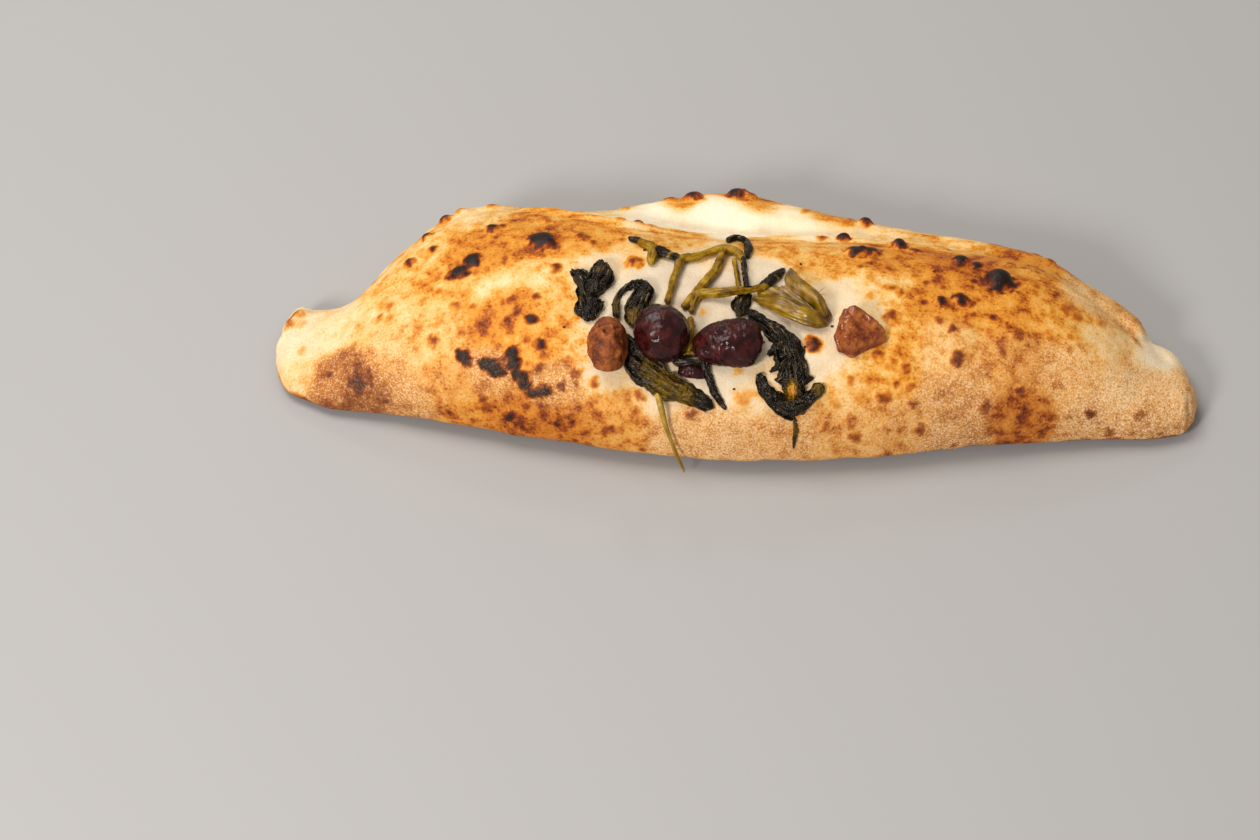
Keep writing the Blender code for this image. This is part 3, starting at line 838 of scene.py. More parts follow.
def add_strand(shape, route, rings=40, sides=16, rounding=1.0, ribs=0, rib_depth=0.0, draped=True):
    """A strand with oval sections along a route: x, y, lift, half width, half thickness."""
    rows = with_runs(route)
    before = len(shape.verts)
    known = {}

    def point_at(along, around):
        run, closing = rounded_run(along, rows[-1][0], rounding)
        key = round(run, 4)
        if key not in known:
            known[key] = section_at(rows, run, draped)
        middle, side, up, half_width, half_thickness = known[key]
        closing *= 1 + rib_depth * math.cos(ribs * around + run * 0.12)
        across = side * (half_width * closing * math.cos(around))
        return (middle + across + up * (half_thickness * closing * math.sin(around))) * MM

    add_roll(shape, point_at, rings, sides)
    shape.verts.ensure_lookup_table()
    if draped:
        settle(shape.verts[before:])


def add_olive(shape, middle, half_sizes, turn, rings=72, sides=96):
    """A whole olive, an ellipsoid turned about the upright; keep_out later flattens it where it
    rests on the dough.
    """
    heading = math.radians(turn)

    def point_at(along, around):
        ring = math.sin(math.pi * along)
        x = -math.cos(math.pi * along) * half_sizes[0]
        y = math.cos(around) * ring * half_sizes[1]
        z = math.sin(around) * ring * half_sizes[2]
        turned_x = x * math.cos(heading) - y * math.sin(heading)
        turned_y = x * math.sin(heading) + y * math.cos(heading)
        return (Vector(middle) + Vector((turned_x, turned_y, z))) * MM

    add_roll(shape, point_at, rings, sides)


def wrinkle(piece, folds, seed):
    """Pushes a skin in and out along creases: each fold has a size and a depth."""
    points, facings = points_of(piece)
    rise = np.zeros(len(points))
    for k, (size, depth) in enumerate(folds):
        rise += depth * (0.35 - np.abs(lumps(points, size, 2, seed + 11 * k)))
    put_points(piece, points + facings * rise[:, None])


def laid_along(points, routes):
    """For each point, how far along the nearest route it lies and how far to the side of it."""
    best = np.full(len(points), 1e9)
    run = np.zeros(len(points))
    over = np.zeros(len(points))
    for k, route in enumerate(routes):
        rows = with_runs(route)
        for start, end in zip(rows, rows[1:]):
            first, step = np.array(start[1:3]), np.subtract(end[1:3], start[1:3])
            offset = points[:, :2] - first
            share = np.clip(offset @ step / (step @ step), 0, 1)
            away = np.linalg.norm(offset - share[:, None] * step, axis=1)
            side = (offset[:, 1] * step[0] - offset[:, 0] * step[1]) / np.linalg.norm(step)
            nearer = away < best
            best = np.where(nearer, away, best)
            run = np.where(nearer, 31 * k + start[0] + share * (end[0] - start[0]), run)
            over = np.where(nearer, side, over)
    return run, over


def pleat(piece, routes, length, width, depth, seed):
    """Pushes a skin in and out along creases that run the way of the nearest route."""
    points, facings = points_of(piece)
    run, over = laid_along(points, routes)
    placed = np.stack((run / length, over / width, points[:, 2] / (2 * width)), axis=1)
    rise = depth * (0.3 - np.abs(lumps(placed, 1.0, 2, seed)))
    put_points(piece, points + facings * rise[:, None])


def mark_fibres(piece, routes):
    """Stores where each corner lies along the plant's own fibres."""
    run, over = laid_along(points_of(piece)[0], routes)
    mark(piece, "run", run)
    mark(piece, "over", over)


def fibres(tree, length, width):
    """Random streaks from 0 to 1 that run along the plant."""
    inputs = {
        "X": sums(tree, "DIVIDE", read(tree, "run"), length),
        "Y": sums(tree, "DIVIDE", read(tree, "over"), width),
    }
    place = add(tree, "ShaderNodeCombineXYZ", inputs).outputs[0]
    inputs = {"Vector": place, "Scale": 1.0, "Detail": 3.0, "Roughness": 0.6}
    return add(tree, "ShaderNodeTexNoise", inputs).outputs["Fac"]


def keep_out(piece, gap=GAP):
    """Lifts what of a finished topping would sink into the dough."""
    settle(piece.data.vertices, gap)
    piece.data.update()


olive_left = bmesh.new()
add_olive(olive_left, *OLIVE_DARK_LEFT)
olive_left = as_piece("dark_olive_left_skin", olive_left)
olive_right = bmesh.new()
add_strand(olive_right, OLIVE_DARK_RIGHT, rings=90, sides=80, rounding=7.5)
olive_right = as_piece("dark_olive_right_skin", olive_right)
olive_scrap = bmesh.new()
add_strand(olive_scrap, OLIVE_SCRAP, rings=40, sides=28, rounding=1.6)
olive_scrap = as_piece("dark_olive_scrap_skin", olive_scrap)
wrinkle(olive_left, ((9.0, 1.2), (2.6, 0.45), (1.3, 0.26)), 23)
wrinkle(olive_right, ((9.0, 1.6), (2.6, 0.5), (1.3, 0.3)), 27)
wrinkle(olive_scrap, ((2.0, 0.9), (0.9, 0.3)), 33)

material, tree, shader = new_finish("dark_olive_skin")
bloom = clouds(tree, 4.0, 3.0, 0.6)
fleck = clouds(tree, 0.9, 2.0, 0.5, 5.0)
skin = ramp(
    tree,
    sums(tree, "MULTIPLY_ADD", fleck, 0.25, sums(tree, "MULTIPLY", bloom, 0.85)),
    (
        (0.30, shown(24, 6, 6)),
        (0.50, shown(42, 11, 11)),
        (0.66, shown(66, 20, 18)),
        (0.85, shown(100, 42, 32)),
    ),
)
tree.links.new(skin, shader.inputs["Base Color"])
tree.links.new(window(tree, bloom, 0.35, 0.7, 0.14, 0.28), shader.inputs["Roughness"])
shader.inputs["Specular IOR Level"].default_value = 0.24
shader.inputs["Coat Weight"].default_value = 0.03
shader.inputs["Coat Roughness"].default_value = 0.12
height = sums(tree, "MULTIPLY_ADD", clouds(tree, 1.6, 3.0, 0.6, 9.0), 1.0, fleck)
bump = add(tree, "ShaderNodeBump", {"Height": height, "Distance": 0.22 * MM, "Strength": 0.5})
tree.links.new(bump.outputs[0], shader.inputs["Normal"])
tree.links.new(bump.outputs[0], shader.inputs["Coat Normal"])
for piece, node, slot in (
    (olive_left, "olive_dark_left", "dark_olive_left"),
    (olive_right, "olive_dark_right", "dark_olive_right"),
    (olive_scrap, "olive_dark_scrap", "dark_olive_scrap"),
):
    keep_out(piece)
    piece.data.materials.append(material)
    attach(piece, "root")
    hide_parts(node)

# --- The brown olives ----------------------------------------------------------------------------
# A whole brown olive, dried rough and leathery, and half of another, torn open and lying with its
# moist flesh up.

OLIVE_BROWN = ((-43.5, -46.4, 44.0), (7.0, 11.3, 8.0), 4)
# The torn half is a wedge: the corners of its flesh, highest at the left.
TORN_CORNERS = (
    (41.8, -31.0, 51.6),
    (45.4, -29.8, 52.0),
    (49.6, -31.6, 49.8),
    (56.2, -34.6, 45.6),
    (56.4, -36.6, 42.6),
    (51.0, -39.6, 40.8),
    (45.2, -42.6, 40.2),
    (40.6, -41.6, 41.8),
    (39.2, -38.4, 45.0),
    (43.6, -40.2, 47.2),
    (46.6, -40.6, 46.0),
    (43.4, -27.4, 45.0),
    (50.6, -29.4, 44.0),
)

OLIVE_CREASES = (
    ((-48.6, -44.6, 50), (-45.8, -42.8, 52), (-42.0, -42.2, 52), (-39.0, -43.4, 50)),
    ((-47.6, -47.0, 51), (-44.0, -45.4, 52), (-40.4, -45.2, 51)),
    ((-46.5, -49.6, 50), (-42.5, -48.0, 51), (-38.4, -48.0, 49)),
    ((-44.5, -46.0, 52), (-43.0, -48.6, 51), (-43.6, -51.4, 49)),
)

TORN_CREASES = (
    ((42.6, -30.6, 51.5), (45.4, -34.2, 50.5), (50.6, -35.4, 48.0), (55.6, -35.8, 44.6)),
    ((41.0, -36.0, 48.0), (43.6, -37.8, 48.4), (46.4, -41.0, 44.5)),
    ((48.0, -31.0, 51.0), (50.4, -33.4, 49.5), (53.6, -33.6, 47.2)),
)


def crease(piece, lines, reach, depth):
    """Sinks creases into a skin along lines of x, y, z."""
    points, facings = points_of(piece)
    fall = np.zeros(len(points))
    for line in lines:
        fall = np.maximum(fall, 1 - soft_step(off_line(points, line), 0.0, reach + 0.8))
    put_points(piece, points - facings * (depth * fall)[:, None])


olive_brown = bmesh.new()
add_olive(olive_brown, *OLIVE_BROWN)
olive_brown = as_piece("brown_olive_skin", olive_brown)
wrinkle(olive_brown, ((8.0, 1.6), (3.0, 0.6), (1.2, 0.4)), 41)
crease(olive_brown, OLIVE_CREASES, 0.7, 1.5)
olive_torn = bmesh.new()
for corner in TORN_CORNERS:
    bmesh.ops.create_icosphere(
        olive_torn, subdivisions=1, radius=0.8 * MM, matrix=Matrix.Translation(Vector(corner) * MM)
    )
hull = bmesh.ops.convex_hull(olive_torn, input=olive_torn.verts)
loose = [v for v in hull["geom_interior"] if isinstance(v, bmesh.types.BMVert)]
bmesh.ops.delete(olive_torn, geom=loose, context="VERTS")
olive_torn = as_piece("brown_olive_torn_flesh", olive_torn)
fuse(olive_torn, 0.36, 3)
wrinkle(olive_torn, ((8.0, 1.2), (2.8, 0.4), (1.1, 0.1)), 47)
crease(olive_torn, TORN_CREASES, 0.5, 0.7)


def brown_flesh(name, darkest, dark, warm, light, dry, coat, rough):
    """Brown olive flesh, from dark to light in random patches."""
    material, tree, shader = new_finish(name)
    blush = clouds(tree, 4.5, 4.0, 0.62)
    fleck = clouds(tree, 0.8, 3.0, 0.6, 5.0)
    tone = sums(tree, "MULTIPLY_ADD", fleck, 0.3, sums(tree, "MULTIPLY", blush, 0.8))
    stops = ((0.34, darkest), (0.46, dark), (0.58, warm), (0.76, light))
    tree.links.new(ramp(tree, tone, stops), shader.inputs["Base Color"])
    dryness = window(tree, blush, 0.3, 0.7, dry - 0.14, dry + 0.1)
    tree.links.new(dryness, shader.inputs["Roughness"])
    shader.inputs["Specular IOR Level"].default_value = 0.35
    shader.inputs["Coat Weight"].default_value = coat
    shader.inputs["Coat Roughness"].default_value = 0.15
    height = sums(tree, "MULTIPLY_ADD", clouds(tree, 1.5, 3.0, 0.6, 9.0), 1.0, fleck)
    bump = add(tree, "ShaderNodeBump", {"Height": height, "Distance": rough * MM, "Strength": 0.8})
    tree.links.new(bump.outputs[0], shader.inputs["Normal"])
    return material


dry_brown = brown_flesh(
    "dry_brown_olive",
    shown(60, 20, 4),
    shown(106, 44, 10),
    shown(142, 70, 18),
    shown(182, 108, 44),
    0.62,
    0.0,
    0.45,
)
moist_brown = brown_flesh(
    "moist_brown_olive",
    shown(66, 20, 4),
    shown(116, 46, 12),
    shown(156, 82, 30),
    shown(192, 116, 48),
    0.17,
    0.25,
    0.14,
)
for piece, finish, node, slot in (
    (olive_brown, dry_brown, "olive_brown", "brown_olive"),
    (olive_torn, moist_brown, "olive_torn", "brown_olive_torn"),
):
    keep_out(piece)
    piece.data.materials.clear()
    piece.data.materials.append(finish)
    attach(piece, "root")
    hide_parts(node)

# --- The wilted leaves ---------------------------------------------------------------------------
# Dark greens that shrivelled in the oven: thin blades, pleated and crumpled on themselves, black
# with oil, and yellow where a rib or a soft patch stayed tender.

LEAF_SHEET = 0.5

LEAF_LEFT_BLADE = (
    (-60.0, -12.0, 0.3, 1.0, 0.8),
    (-57.0, -15.0, 0.3, 2.0, 1.2),
    (-54.5, -20.5, 0.3, 2.4, 1.6),
    (-53.0, -26.0, 0.3, 3.4, 1.8),
    (-52.0, -30.0, 0.3, 4.6, 2.0),
    (-51.5, -35.0, 0.3, 2.4, 1.2),
)
LEAF_LEFT_LOBE = (
    (-52.8, -25.5, 0.4, 2.4, 1.6),
    (-51.0, -21.5, 0.4, 3.2, 2.4),
    (-49.0, -16.5, 0.4, 4.6, 2.6),
    (-48.8, -11.5, 0.4, 3.6, 2.0),
    (-49.2, -7.0, 0.4, 1.2, 1.0),
)
LEAF_LEFT_WEB = (
    (-57.0, -12.5, 0.3, 1.6, 0.9),
    (-54.6, -16.0, 0.3, 2.8, 1.2),
    (-52.6, -21.0, 0.3, 3.2, 1.4),
    (-52.4, -26.0, 0.3, 2.4, 1.2),
)
LEAF_ARCH_THIN = (
    (-41.0, -33.0, 0.3, 1.3, 0.9),
    (-42.2, -28.5, 0.3, 1.2, 0.9),
    (-41.6, -23.0, 0.3, 1.0, 0.8),
    (-39.8, -19.4, 0.3, 1.2, 0.9),
    (-36.6, -17.6, 0.3, 1.6, 1.2),
)
LEAF_ARCH_THICK = (
    (-37.8, -17.8, 0.4, 1.6, 1.2),
    (-33.6, -18.2, 0.4, 2.0, 1.6),
    (-31.8, -21.5, 0.4, 3.0, 1.9),
    (-33.6, -26.0, 0.4, 3.8, 2.0),
    (-35.2, -31.0, 0.4, 3.4, 1.6),
    (-35.0, -36.5, 0.3, 2.0, 1.2),
)
LEAF_ARCH_KNOB = ((-35.0, -26.5, 0.3, 1.4, 1.2), (-38.4, -29.4, 0.3, 0.9, 0.9))
LEAF_FRONT = (
    (-37.0, -45.0, 0.3, 1.6, 1.2),
    (-34.8, -49.0, 0.3, 2.8, 1.6),
    (-31.5, -51.8, 0.3, 4.4, 1.9),
    (-26.0, -54.4, 0.3, 4.8, 2.0),
    (-20.0, -57.2, 0.3, 4.4, 2.0),
    (-13.0, -58.8, 0.3, 3.2, 1.6),
    (-4.5, -61.0, 0.3, 2.2, 1.2),
)
LEAF_FRONT_TUFT = (
    (-38.5, -39.5, 0.3, 1.6, 1.2),
    (-36.4, -43.5, 0.3, 2.8, 1.8),
    (-32.0, -46.8, 0.3, 3.4, 2.0),
    (-27.0, -50.0, 0.3, 2.8, 1.6),
    (-22.0, -52.2, 0.3, 1.4, 1.0),
)
LEAF_RIGHT_CLUMP = (
    (5.4, -17.6, 0.3, 1.6, 1.0),
    (4.8, -21.6, 0.3, 2.6, 1.5),
    (3.4, -25.8, 0.3, 2.9, 1.5),
    (3.8, -30.0, 0.3, 2.2, 1.2),
)
LEAF_RIGHT_BLADE = (
    (6.5, -28.5, 0.4, 1.6, 1.2),
    (13.0, -33.5, 0.4, 2.3, 1.6),
    (18.6, -38.2, 0.4, 3.6, 2.0),
    (21.8, -43.6, 0.4, 4.9, 2.2),
    (23.8, -49.6, 0.4, 4.9, 2.0),
    (25.0, -57.5, 0.4, 5.2, 1.6),
)
LEAF_RIGHT_TEETH = (
    ((19.0, -42.6, 0.4, 1.8, 1.0), (14.2, -45.4, 0.3, 0.4, 0.5)),
    ((20.0, -48.6, 0.4, 1.6, 0.9), (15.8, -50.8, 0.3, 0.4, 0.4)),
)
LEAF_RIGHT_FOOT = (
    (11.6, -52.0, 0.3, 1.5, 1.1),
    (14.0, -56.4, 0.3, 2.2, 1.5),
    (18.6, -59.4, 0.3, 3.0, 1.6),
    (24.5, -60.2, 0.3, 3.6, 1.8),
    (30.4, -58.0, 0.3, 2.6, 1.5),
    (35.0, -53.6, 0.3, 1.9, 1.3),
)


def add_blade(shape, route, pleats, ragged, seed, spread=1.12, steps=110, across=24):
    """A thin pleated blade with torn edges along a route."""
    rows = with_runs(route)
    length = rows[-1][0]
    sheet = bmesh.new()
    grid = bmesh.ops.create_grid(sheet, x_segments=steps, y_segments=across, size=1.0)
    known = {}
    for vert in grid["verts"]:
        run, over = (vert.co.x + 1) / 2 * length, vert.co.y
        key = round(run, 4)
        if key not in known:
            known[key] = section_at(rows, run, True)
        middle, side, up, half_width, half_thickness = known[key]
        closing = min(1.0, 0.25 + min(run, length - run) / (half_width + 0.5))
        hand = 3.0 if over > 0 else -3.0
        torn = noise.noise(Vector((run / 3.4, hand, seed)))
        tooth = 1 - 2 * abs((run / 3.1 + 0.5 * torn + hand) % 1.0 - 0.5)
        reach = half_width * closing * (spread + ragged * (torn + 0.3 * tooth) * abs(over))
        turn = 2.4 * noise.noise(Vector((run / 9.0, seed, 0.0)))
        fold = 1 - 2 * abs(math.sin(pleats * math.pi / 2 * over + turn))
        crease = 0.4 - abs(noise.noise(Vector((run / 7.0, over * half_width / 1.5, seed + 9))))
        lift = half_thickness * (0.6 * fold + 1.5 * crease - 0.7 * over * over)
        vert.co = (middle + side * (reach * over) + up * lift) * MM
    bmesh.ops.solidify(sheet, geom=sheet.faces[:], thickness=LEAF_SHEET * MM)
    settle(sheet.verts)
    bmesh.ops.recalc_face_normals(sheet, faces=sheet.faces)
    made = bpy.data.meshes.new("blade")
    sheet.to_mesh(made)
    sheet.free()
    shape.from_mesh(made)
    bpy.data.meshes.remove(made)


def tinge(piece, name, spots):
    """Marks the places of a topping that differ in colour: x, y, radius and how strongly."""
    points, _ = points_of(piece)
    values = np.zeros(len(points))
    for x, y, radius, strength in spots:
        away = np.hypot(points[:, 0] - x, points[:, 1] - y) / radius
        values = np.maximum(values, strength * (1 - soft_step(away, 0.4, 1.3)))
    mark(piece, name, values)


def wilted_leaf(name, cores, blades, tender, seed):
    """A shrivelled leaf: crumpled cores with pleated blades over them."""
    core = bmesh.new()
    for route in cores:
        slim = [(x, y, lift, 0.74 * wide, 0.85 * thick) for x, y, lift, wide, thick in route]
        add_strand(core, slim, rings=50, sides=24)
    core = as_piece(name, core)
    fuse(core, 0.3, 1)
    pleat(core, cores, 13.0, 1.6, 1.9, seed)
    pleat(core, cores, 7.0, 0.8, 0.8, seed + 3)
    wrinkle(core, ((1.7, 0.7),), seed)
    shape = bmesh.new()
    shape.from_mesh(core.data)
    for k, (route, pleats, ragged) in enumerate(blades):
        add_blade(shape, route, pleats, ragged, seed + 3.7 * k)
    core.data.clear_geometry()
    shape.to_mesh(core.data)
    shape.free()
    core.data.shade_smooth()
    keep_out(core)
    tinge(core, "tender", tender)
    mark_fibres(core, cores)
    return core


leaf_left = wilted_leaf(
    "wilted_leaf_left_blades",
    (LEAF_LEFT_BLADE, LEAF_LEFT_LOBE, LEAF_LEFT_WEB),
    ((LEAF_LEFT_BLADE, 1.6, 0.4), (LEAF_LEFT_LOBE, 2.2, 0.3), (LEAF_LEFT_WEB, 1.8, 0.3)),
    ((-49.0, -14.0, 2.5, 0.25),),
    51,
)
leaf_arch = wilted_leaf(
    "wilted_leaf_arch_blades",
    (LEAF_ARCH_THIN, LEAF_ARCH_THICK, LEAF_ARCH_KNOB),
    ((LEAF_ARCH_THICK, 2.2, 0.3), (LEAF_ARCH_THIN, 1.0, 0.3)),
    ((-42.0, -28.0, 4.0, 0.35), (-35.2, -34.0, 4.0, 0.6)),
    58,
)
leaf_front = wilted_leaf(
    "wilted_leaf_front_blades",
    (LEAF_FRONT, LEAF_FRONT_TUFT),
    ((LEAF_FRONT, 2.4, 0.35), (LEAF_FRONT_TUFT, 2.0, 0.4)),
    ((-22.0, -57.0, 6.0, 0.7), (-15.0, -59.5, 4.5, 0.6), (-28.0, -52.5, 4.0, 0.45)),
    66,
)
leaf_right = wilted_leaf(
    "wilted_leaf_right_blades",
    (LEAF_RIGHT_CLUMP, LEAF_RIGHT_BLADE, LEAF_RIGHT_FOOT, *LEAF_RIGHT_TEETH),
    ((LEAF_RIGHT_BLADE, 3.0, 0.45), (LEAF_RIGHT_FOOT, 1.6, 0.4), (LEAF_RIGHT_CLUMP, 1.4, 0.3)),
    ((24.0, -57.0, 2.6, 1.0), (33.5, -54.5, 3.0, 0.6), (3.8, -31.5, 1.8, 0.7)),
    74,
)


def wilted_finish(name, dark, mid, sheen, shine, tender, yellow):
    material, tree, shader = new_finish(name)
    vein_and_painted_shine = fibres(tree, 5.0, 0.75)
    patch = clouds(tree, 3.6, 3.0, 0.55, 4.0)
    tone = sums(tree, "MULTIPLY_ADD", vein_and_painted_shine, 0.7, sums(tree, "MULTIPLY", patch, 0.3))
    # The sheen and shine stops are painted highlights, laid along the fibre streaks.
    green = ramp(tree, tone, ((0.38, dark), (0.51, mid), (0.6, sheen), (0.68, shine)))
    soft = read(tree, "tender")
    bright = window(tree, soft, 0.7, 1.0)
    leafy = blend(tree, bright, tender, yellow)
    soft = sums(tree, "MULTIPLY", soft, window(tree, vein_and_painted_shine, 0.35, 0.6, 0.35, 1.0))
    tree.links.new(blend(tree, soft, green, leafy), shader.inputs["Base Color"])
    tree.links.new(window(tree, patch, 0.35, 0.65, 0.08, 0.2), shader.inputs["Roughness"])
    shader.inputs["Specular IOR Level"].default_value = 0.26
    vein_and_painted_shine = sums(tree, "MULTIPLY_ADD", clouds(tree, 0.8, 2.0, 0.5, 9.0), 0.3, vein_and_painted_shine)
    bump = add(tree, "ShaderNodeBump", {"Height": vein_and_painted_shine, "Distance": 0.7 * MM, "Strength": 1.0})
    tree.links.new(bump.outputs[0], shader.inputs["Normal"])
    return material


# The fourth and fifth colours are a painted sheen and painted highlights on the dark leaves.
wilted = wilted_finish(
    "wilted_green",
    shown(7, 4, 1),
    shown(26, 16, 5),
    shown(60, 46, 18),
    shown(160, 142, 98),
    shown(132, 98, 8),
    shown(222, 150, 36),
)
for piece, node, slot in (
    (leaf_left, "leaf_left", "wilted_leaf_left"),
    (leaf_arch, "leaf_arch", "wilted_leaf_arch"),
    (leaf_front, "leaf_front", "wilted_leaf_front"),
    (leaf_right, "leaf_right", "wilted_leaf_right"),
):
    piece.data.materials.clear()
    piece.data.materials.append(wilted)
    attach(piece, "root")
    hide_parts(node)

# --- The tender leaf -----------------------------------------------------------------------------
# One leaf that stayed yellow-green: a folded pouch below and a curled strip above, which meet in
# a round fold at the right. Fine ribs run along both.

LEAF_GREEN_LOWER = (
    (8.0, -21.0, 0.3, 1.2, 0.8),
    (12.5, -22.8, 0.3, 2.8, 1.4),
    (18.0, -25.6, 0.4, 3.8, 2.6),
    (25.5, -29.4, 0.4, 4.0, 2.9),
    (31.8, -31.6, 0.3, 3.4, 2.4),
    (35.6, -31.0, 0.3, 1.8, 1.2),
)
LEAF_GREEN_UPPER = (
    (21.2, -4.4, 0.2, 0.3, 0.4),
    (21.4, -8.0, 0.3, 1.6, 1.0),
    (22.4, -13.5, 0.4, 3.0, 2.0),
    (27.5, -19.0, 0.5, 2.6, 2.6),
    (32.5, -24.6, 0.4, 2.6, 2.6),
    (36.0, -30.4, 0.3, 2.2, 1.4),
)
LEAF_GREEN_SHEET = (
    (9.5, -19.0, 0.3, 1.6, 0.7),
    (15.0, -18.2, 0.2, 2.8, 0.8),
    (20.5, -18.6, 0.2, 3.8, 0.8),
    (25.5, -22.4, 0.2, 4.2, 0.8),
    (30.0, -26.6, 0.2, 3.4, 0.8),
    (33.0, -29.0, 0.2, 2.0, 0.8),
)

leaf_green = bmesh.new()
add_strand(leaf_green, LEAF_GREEN_LOWER, rings=90, sides=72, ribs=9, rib_depth=0.06)
add_strand(leaf_green, LEAF_GREEN_UPPER, rings=90, sides=72, ribs=7, rib_depth=0.07)
add_strand(leaf_green, LEAF_GREEN_SHEET, rings=60, sides=40)
leaf_green = as_piece("tender_leaf_folds", leaf_green)
fuse(leaf_green, 0.3, 1)
pleat(leaf_green, (LEAF_GREEN_LOWER, LEAF_GREEN_UPPER), 18.0, 2.8, 0.9, 81)
pleat(leaf_green, (LEAF_GREEN_LOWER, LEAF_GREEN_UPPER), 8.0, 0.9, 0.15, 84)
keep_out(leaf_green)
mark_fibres(leaf_green, (LEAF_GREEN_LOWER, LEAF_GREEN_UPPER))
tinge(
    leaf_green,
    "browned",
    (
        (21.2, -4.4, 1.6, 1.0),
        (37.0, -30.0, 3.6, 0.7),
        (22.4, -13.5, 2.4, 0.4),
        (29.0, -34.5, 3.0, 0.6),
    ),
)
tinge(
    leaf_green,
    "thin",
    (
        (14.0, -17.0, 2.2, 0.5),
        (19.0, -16.8, 2.6, 0.6),
        (23.5, -20.0, 2.2, 0.6),
        (27.0, -23.6, 1.8, 0.4),
    ),
)

material, tree, shader = new_finish("tender_green")
rib = fibres(tree, 12.0, 1.1)
patch = clouds(tree, 5.0, 2.0, 0.5, 6.0)
tone = sums(tree, "MULTIPLY_ADD", rib, 0.4, sums(tree, "MULTIPLY", patch, 0.6))
green = ramp(
    tree,
    tone,
    (
        (0.36, shown(86, 58, 0)),
        (0.50, shown(130, 94, 2)),
        (0.64, shown(162, 126, 14)),
    ),
)
browned = sums(tree, "MULTIPLY", read(tree, "browned"), window(tree, rib, 0.3, 0.6, 0.3, 1.0))
green = blend(tree, read(tree, "thin"), green, shown(168, 134, 92))
tree.links.new(blend(tree, browned, green, shown(70, 44, 6)), shader.inputs["Base Color"])
shader.inputs["Roughness"].default_value = 0.19
shader.inputs["Specular IOR Level"].default_value = 0.36
shader.inputs["Coat Weight"].default_value = 0.04
shader.inputs["Coat Roughness"].default_value = 0.15
bump = add(tree, "ShaderNodeBump", {"Height": rib, "Distance": 0.5 * MM, "Strength": 0.8})
tree.links.new(bump.outputs[0], shader.inputs["Normal"])
leaf_green.data.materials.clear()
leaf_green.data.materials.append(material)
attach(leaf_green, "root")
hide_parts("leaf_green")

# --- The stems -----------------------------------------------------------------------------------
# A forked green stem lies over the dough behind the olives, limp and ridged, with a bud on its
# left end. A thin bare one hangs over the front edge.

STEM_ARCH = (
    (-23.4, -26.0, 0.3, 1.3, 1.2),
    (-22.5, -18.8, 0.3, 1.4, 1.3),
    (-21.0, -9.5, 0.3, 1.5, 1.4),
    (-19.5, -3.0, 0.4, 1.7, 1.4),
    (-15.2, -1.2, 0.5, 1.5, 1.3),
    (-9.4, 2.3, 0.6, 1.5, 1.3),
    (-4.4, 4.7, 0.6, 2.0, 1.5),
    (0.4, 3.0, 0.5, 1.9, 1.4),
    (2.8, -0.6, 0.3, 1.3, 1.2),
    (3.8, -7.0, 0.3, 1.0, 1.0),
    (5.0, -13.5, 0.4, 1.0, 1.0),
    (5.6, -19.0, 0.6, 1.1, 1.1),
)
STEM_FORK = (
    (-3.9, 4.0, 0.6, 1.4, 1.3),
    (-5.7, -3.4, 0.5, 1.6, 1.4),
    (-7.2, -9.7, 0.4, 1.7, 1.5),
    (-11.1, -17.1, 0.4, 2.0, 1.6),
    (-15.1, -24.2, 0.3, 1.6, 1.3),
    (-17.4, -28.0, 0.3, 1.2, 1.1),
)
STEM_FORK_TAIL = (
    (-11.0, -17.5, 0.4, 1.5, 1.3),
    (-13.2, -24.7, 0.3, 1.4, 1.2),
    (-14.2, -30.0, 0.3, 1.1, 1.0),
)
STEM_CROSS = (
    (-13.2, -21.5, 0.5, 1.8, 1.4),
    (-7.9, -21.6, 1.0, 2.4, 1.6),
    (-2.0, -21.9, 2.4, 2.1, 1.5),
    (3.5, -20.9, 3.0, 1.6, 1.4),
    (8.2, -19.0, 2.2, 1.4, 1.3),
    (11.6, -16.4, 0.8, 1.4, 1.3),
    (14.5, -12.7, 0.4, 1.5, 1.3),
    (17.8, -8.3, 0.3, 0.9, 0.9),
)
STEM_SPRIG = (
    (-40.7, 8.2, 0.3, 0.9, 0.8),
    (-36.8, 6.7, 0.3, 1.3, 1.0),
    (-33.2, 4.2, 0.3, 1.8, 1.4),
    (-28.8, 1.3, 0.3, 2.4, 1.6),
    (-24.8, -0.4, 0.3, 2.0, 1.5),
    (-19.5, -3.4, 0.4, 1.7, 1.4),
)
STEM_BUD = (
    (-28.6, 3.6, 0.4, 1.8, 1.4),
    (-30.5, -1.0, 0.3, 2.2, 1.6),
    (-30.6, -6.4, 0.3, 1.5, 1.2),
)
STEM_THIN_LEG = (
    (-0.4, -0.6, 0.3, 0.9, 0.8),
    (0.8, -7.0, 0.3, 0.9, 0.8),
    (2.2, -14.4, 0.3, 0.9, 0.8),
    (2.6, -20.5, 0.4, 0.9, 0.8),
)
# The front stem's points give their own heights in place of lifts: it hangs over the edge.
STEM_FRONT = (
    (-24.8, -58.5, 31.5, 1.0, 1.0),
    (-23.2, -63.2, 30.0, 1.1, 1.1),
    (-21.6, -66.2, 24.0, 1.1, 1.1),
    (-19.0, -68.4, 16.0, 1.0, 1.0),
    (-16.4, -69.8, 8.5, 0.9, 0.9),
    (-14.2, -70.6, 3.0, 0.6, 0.6),
)

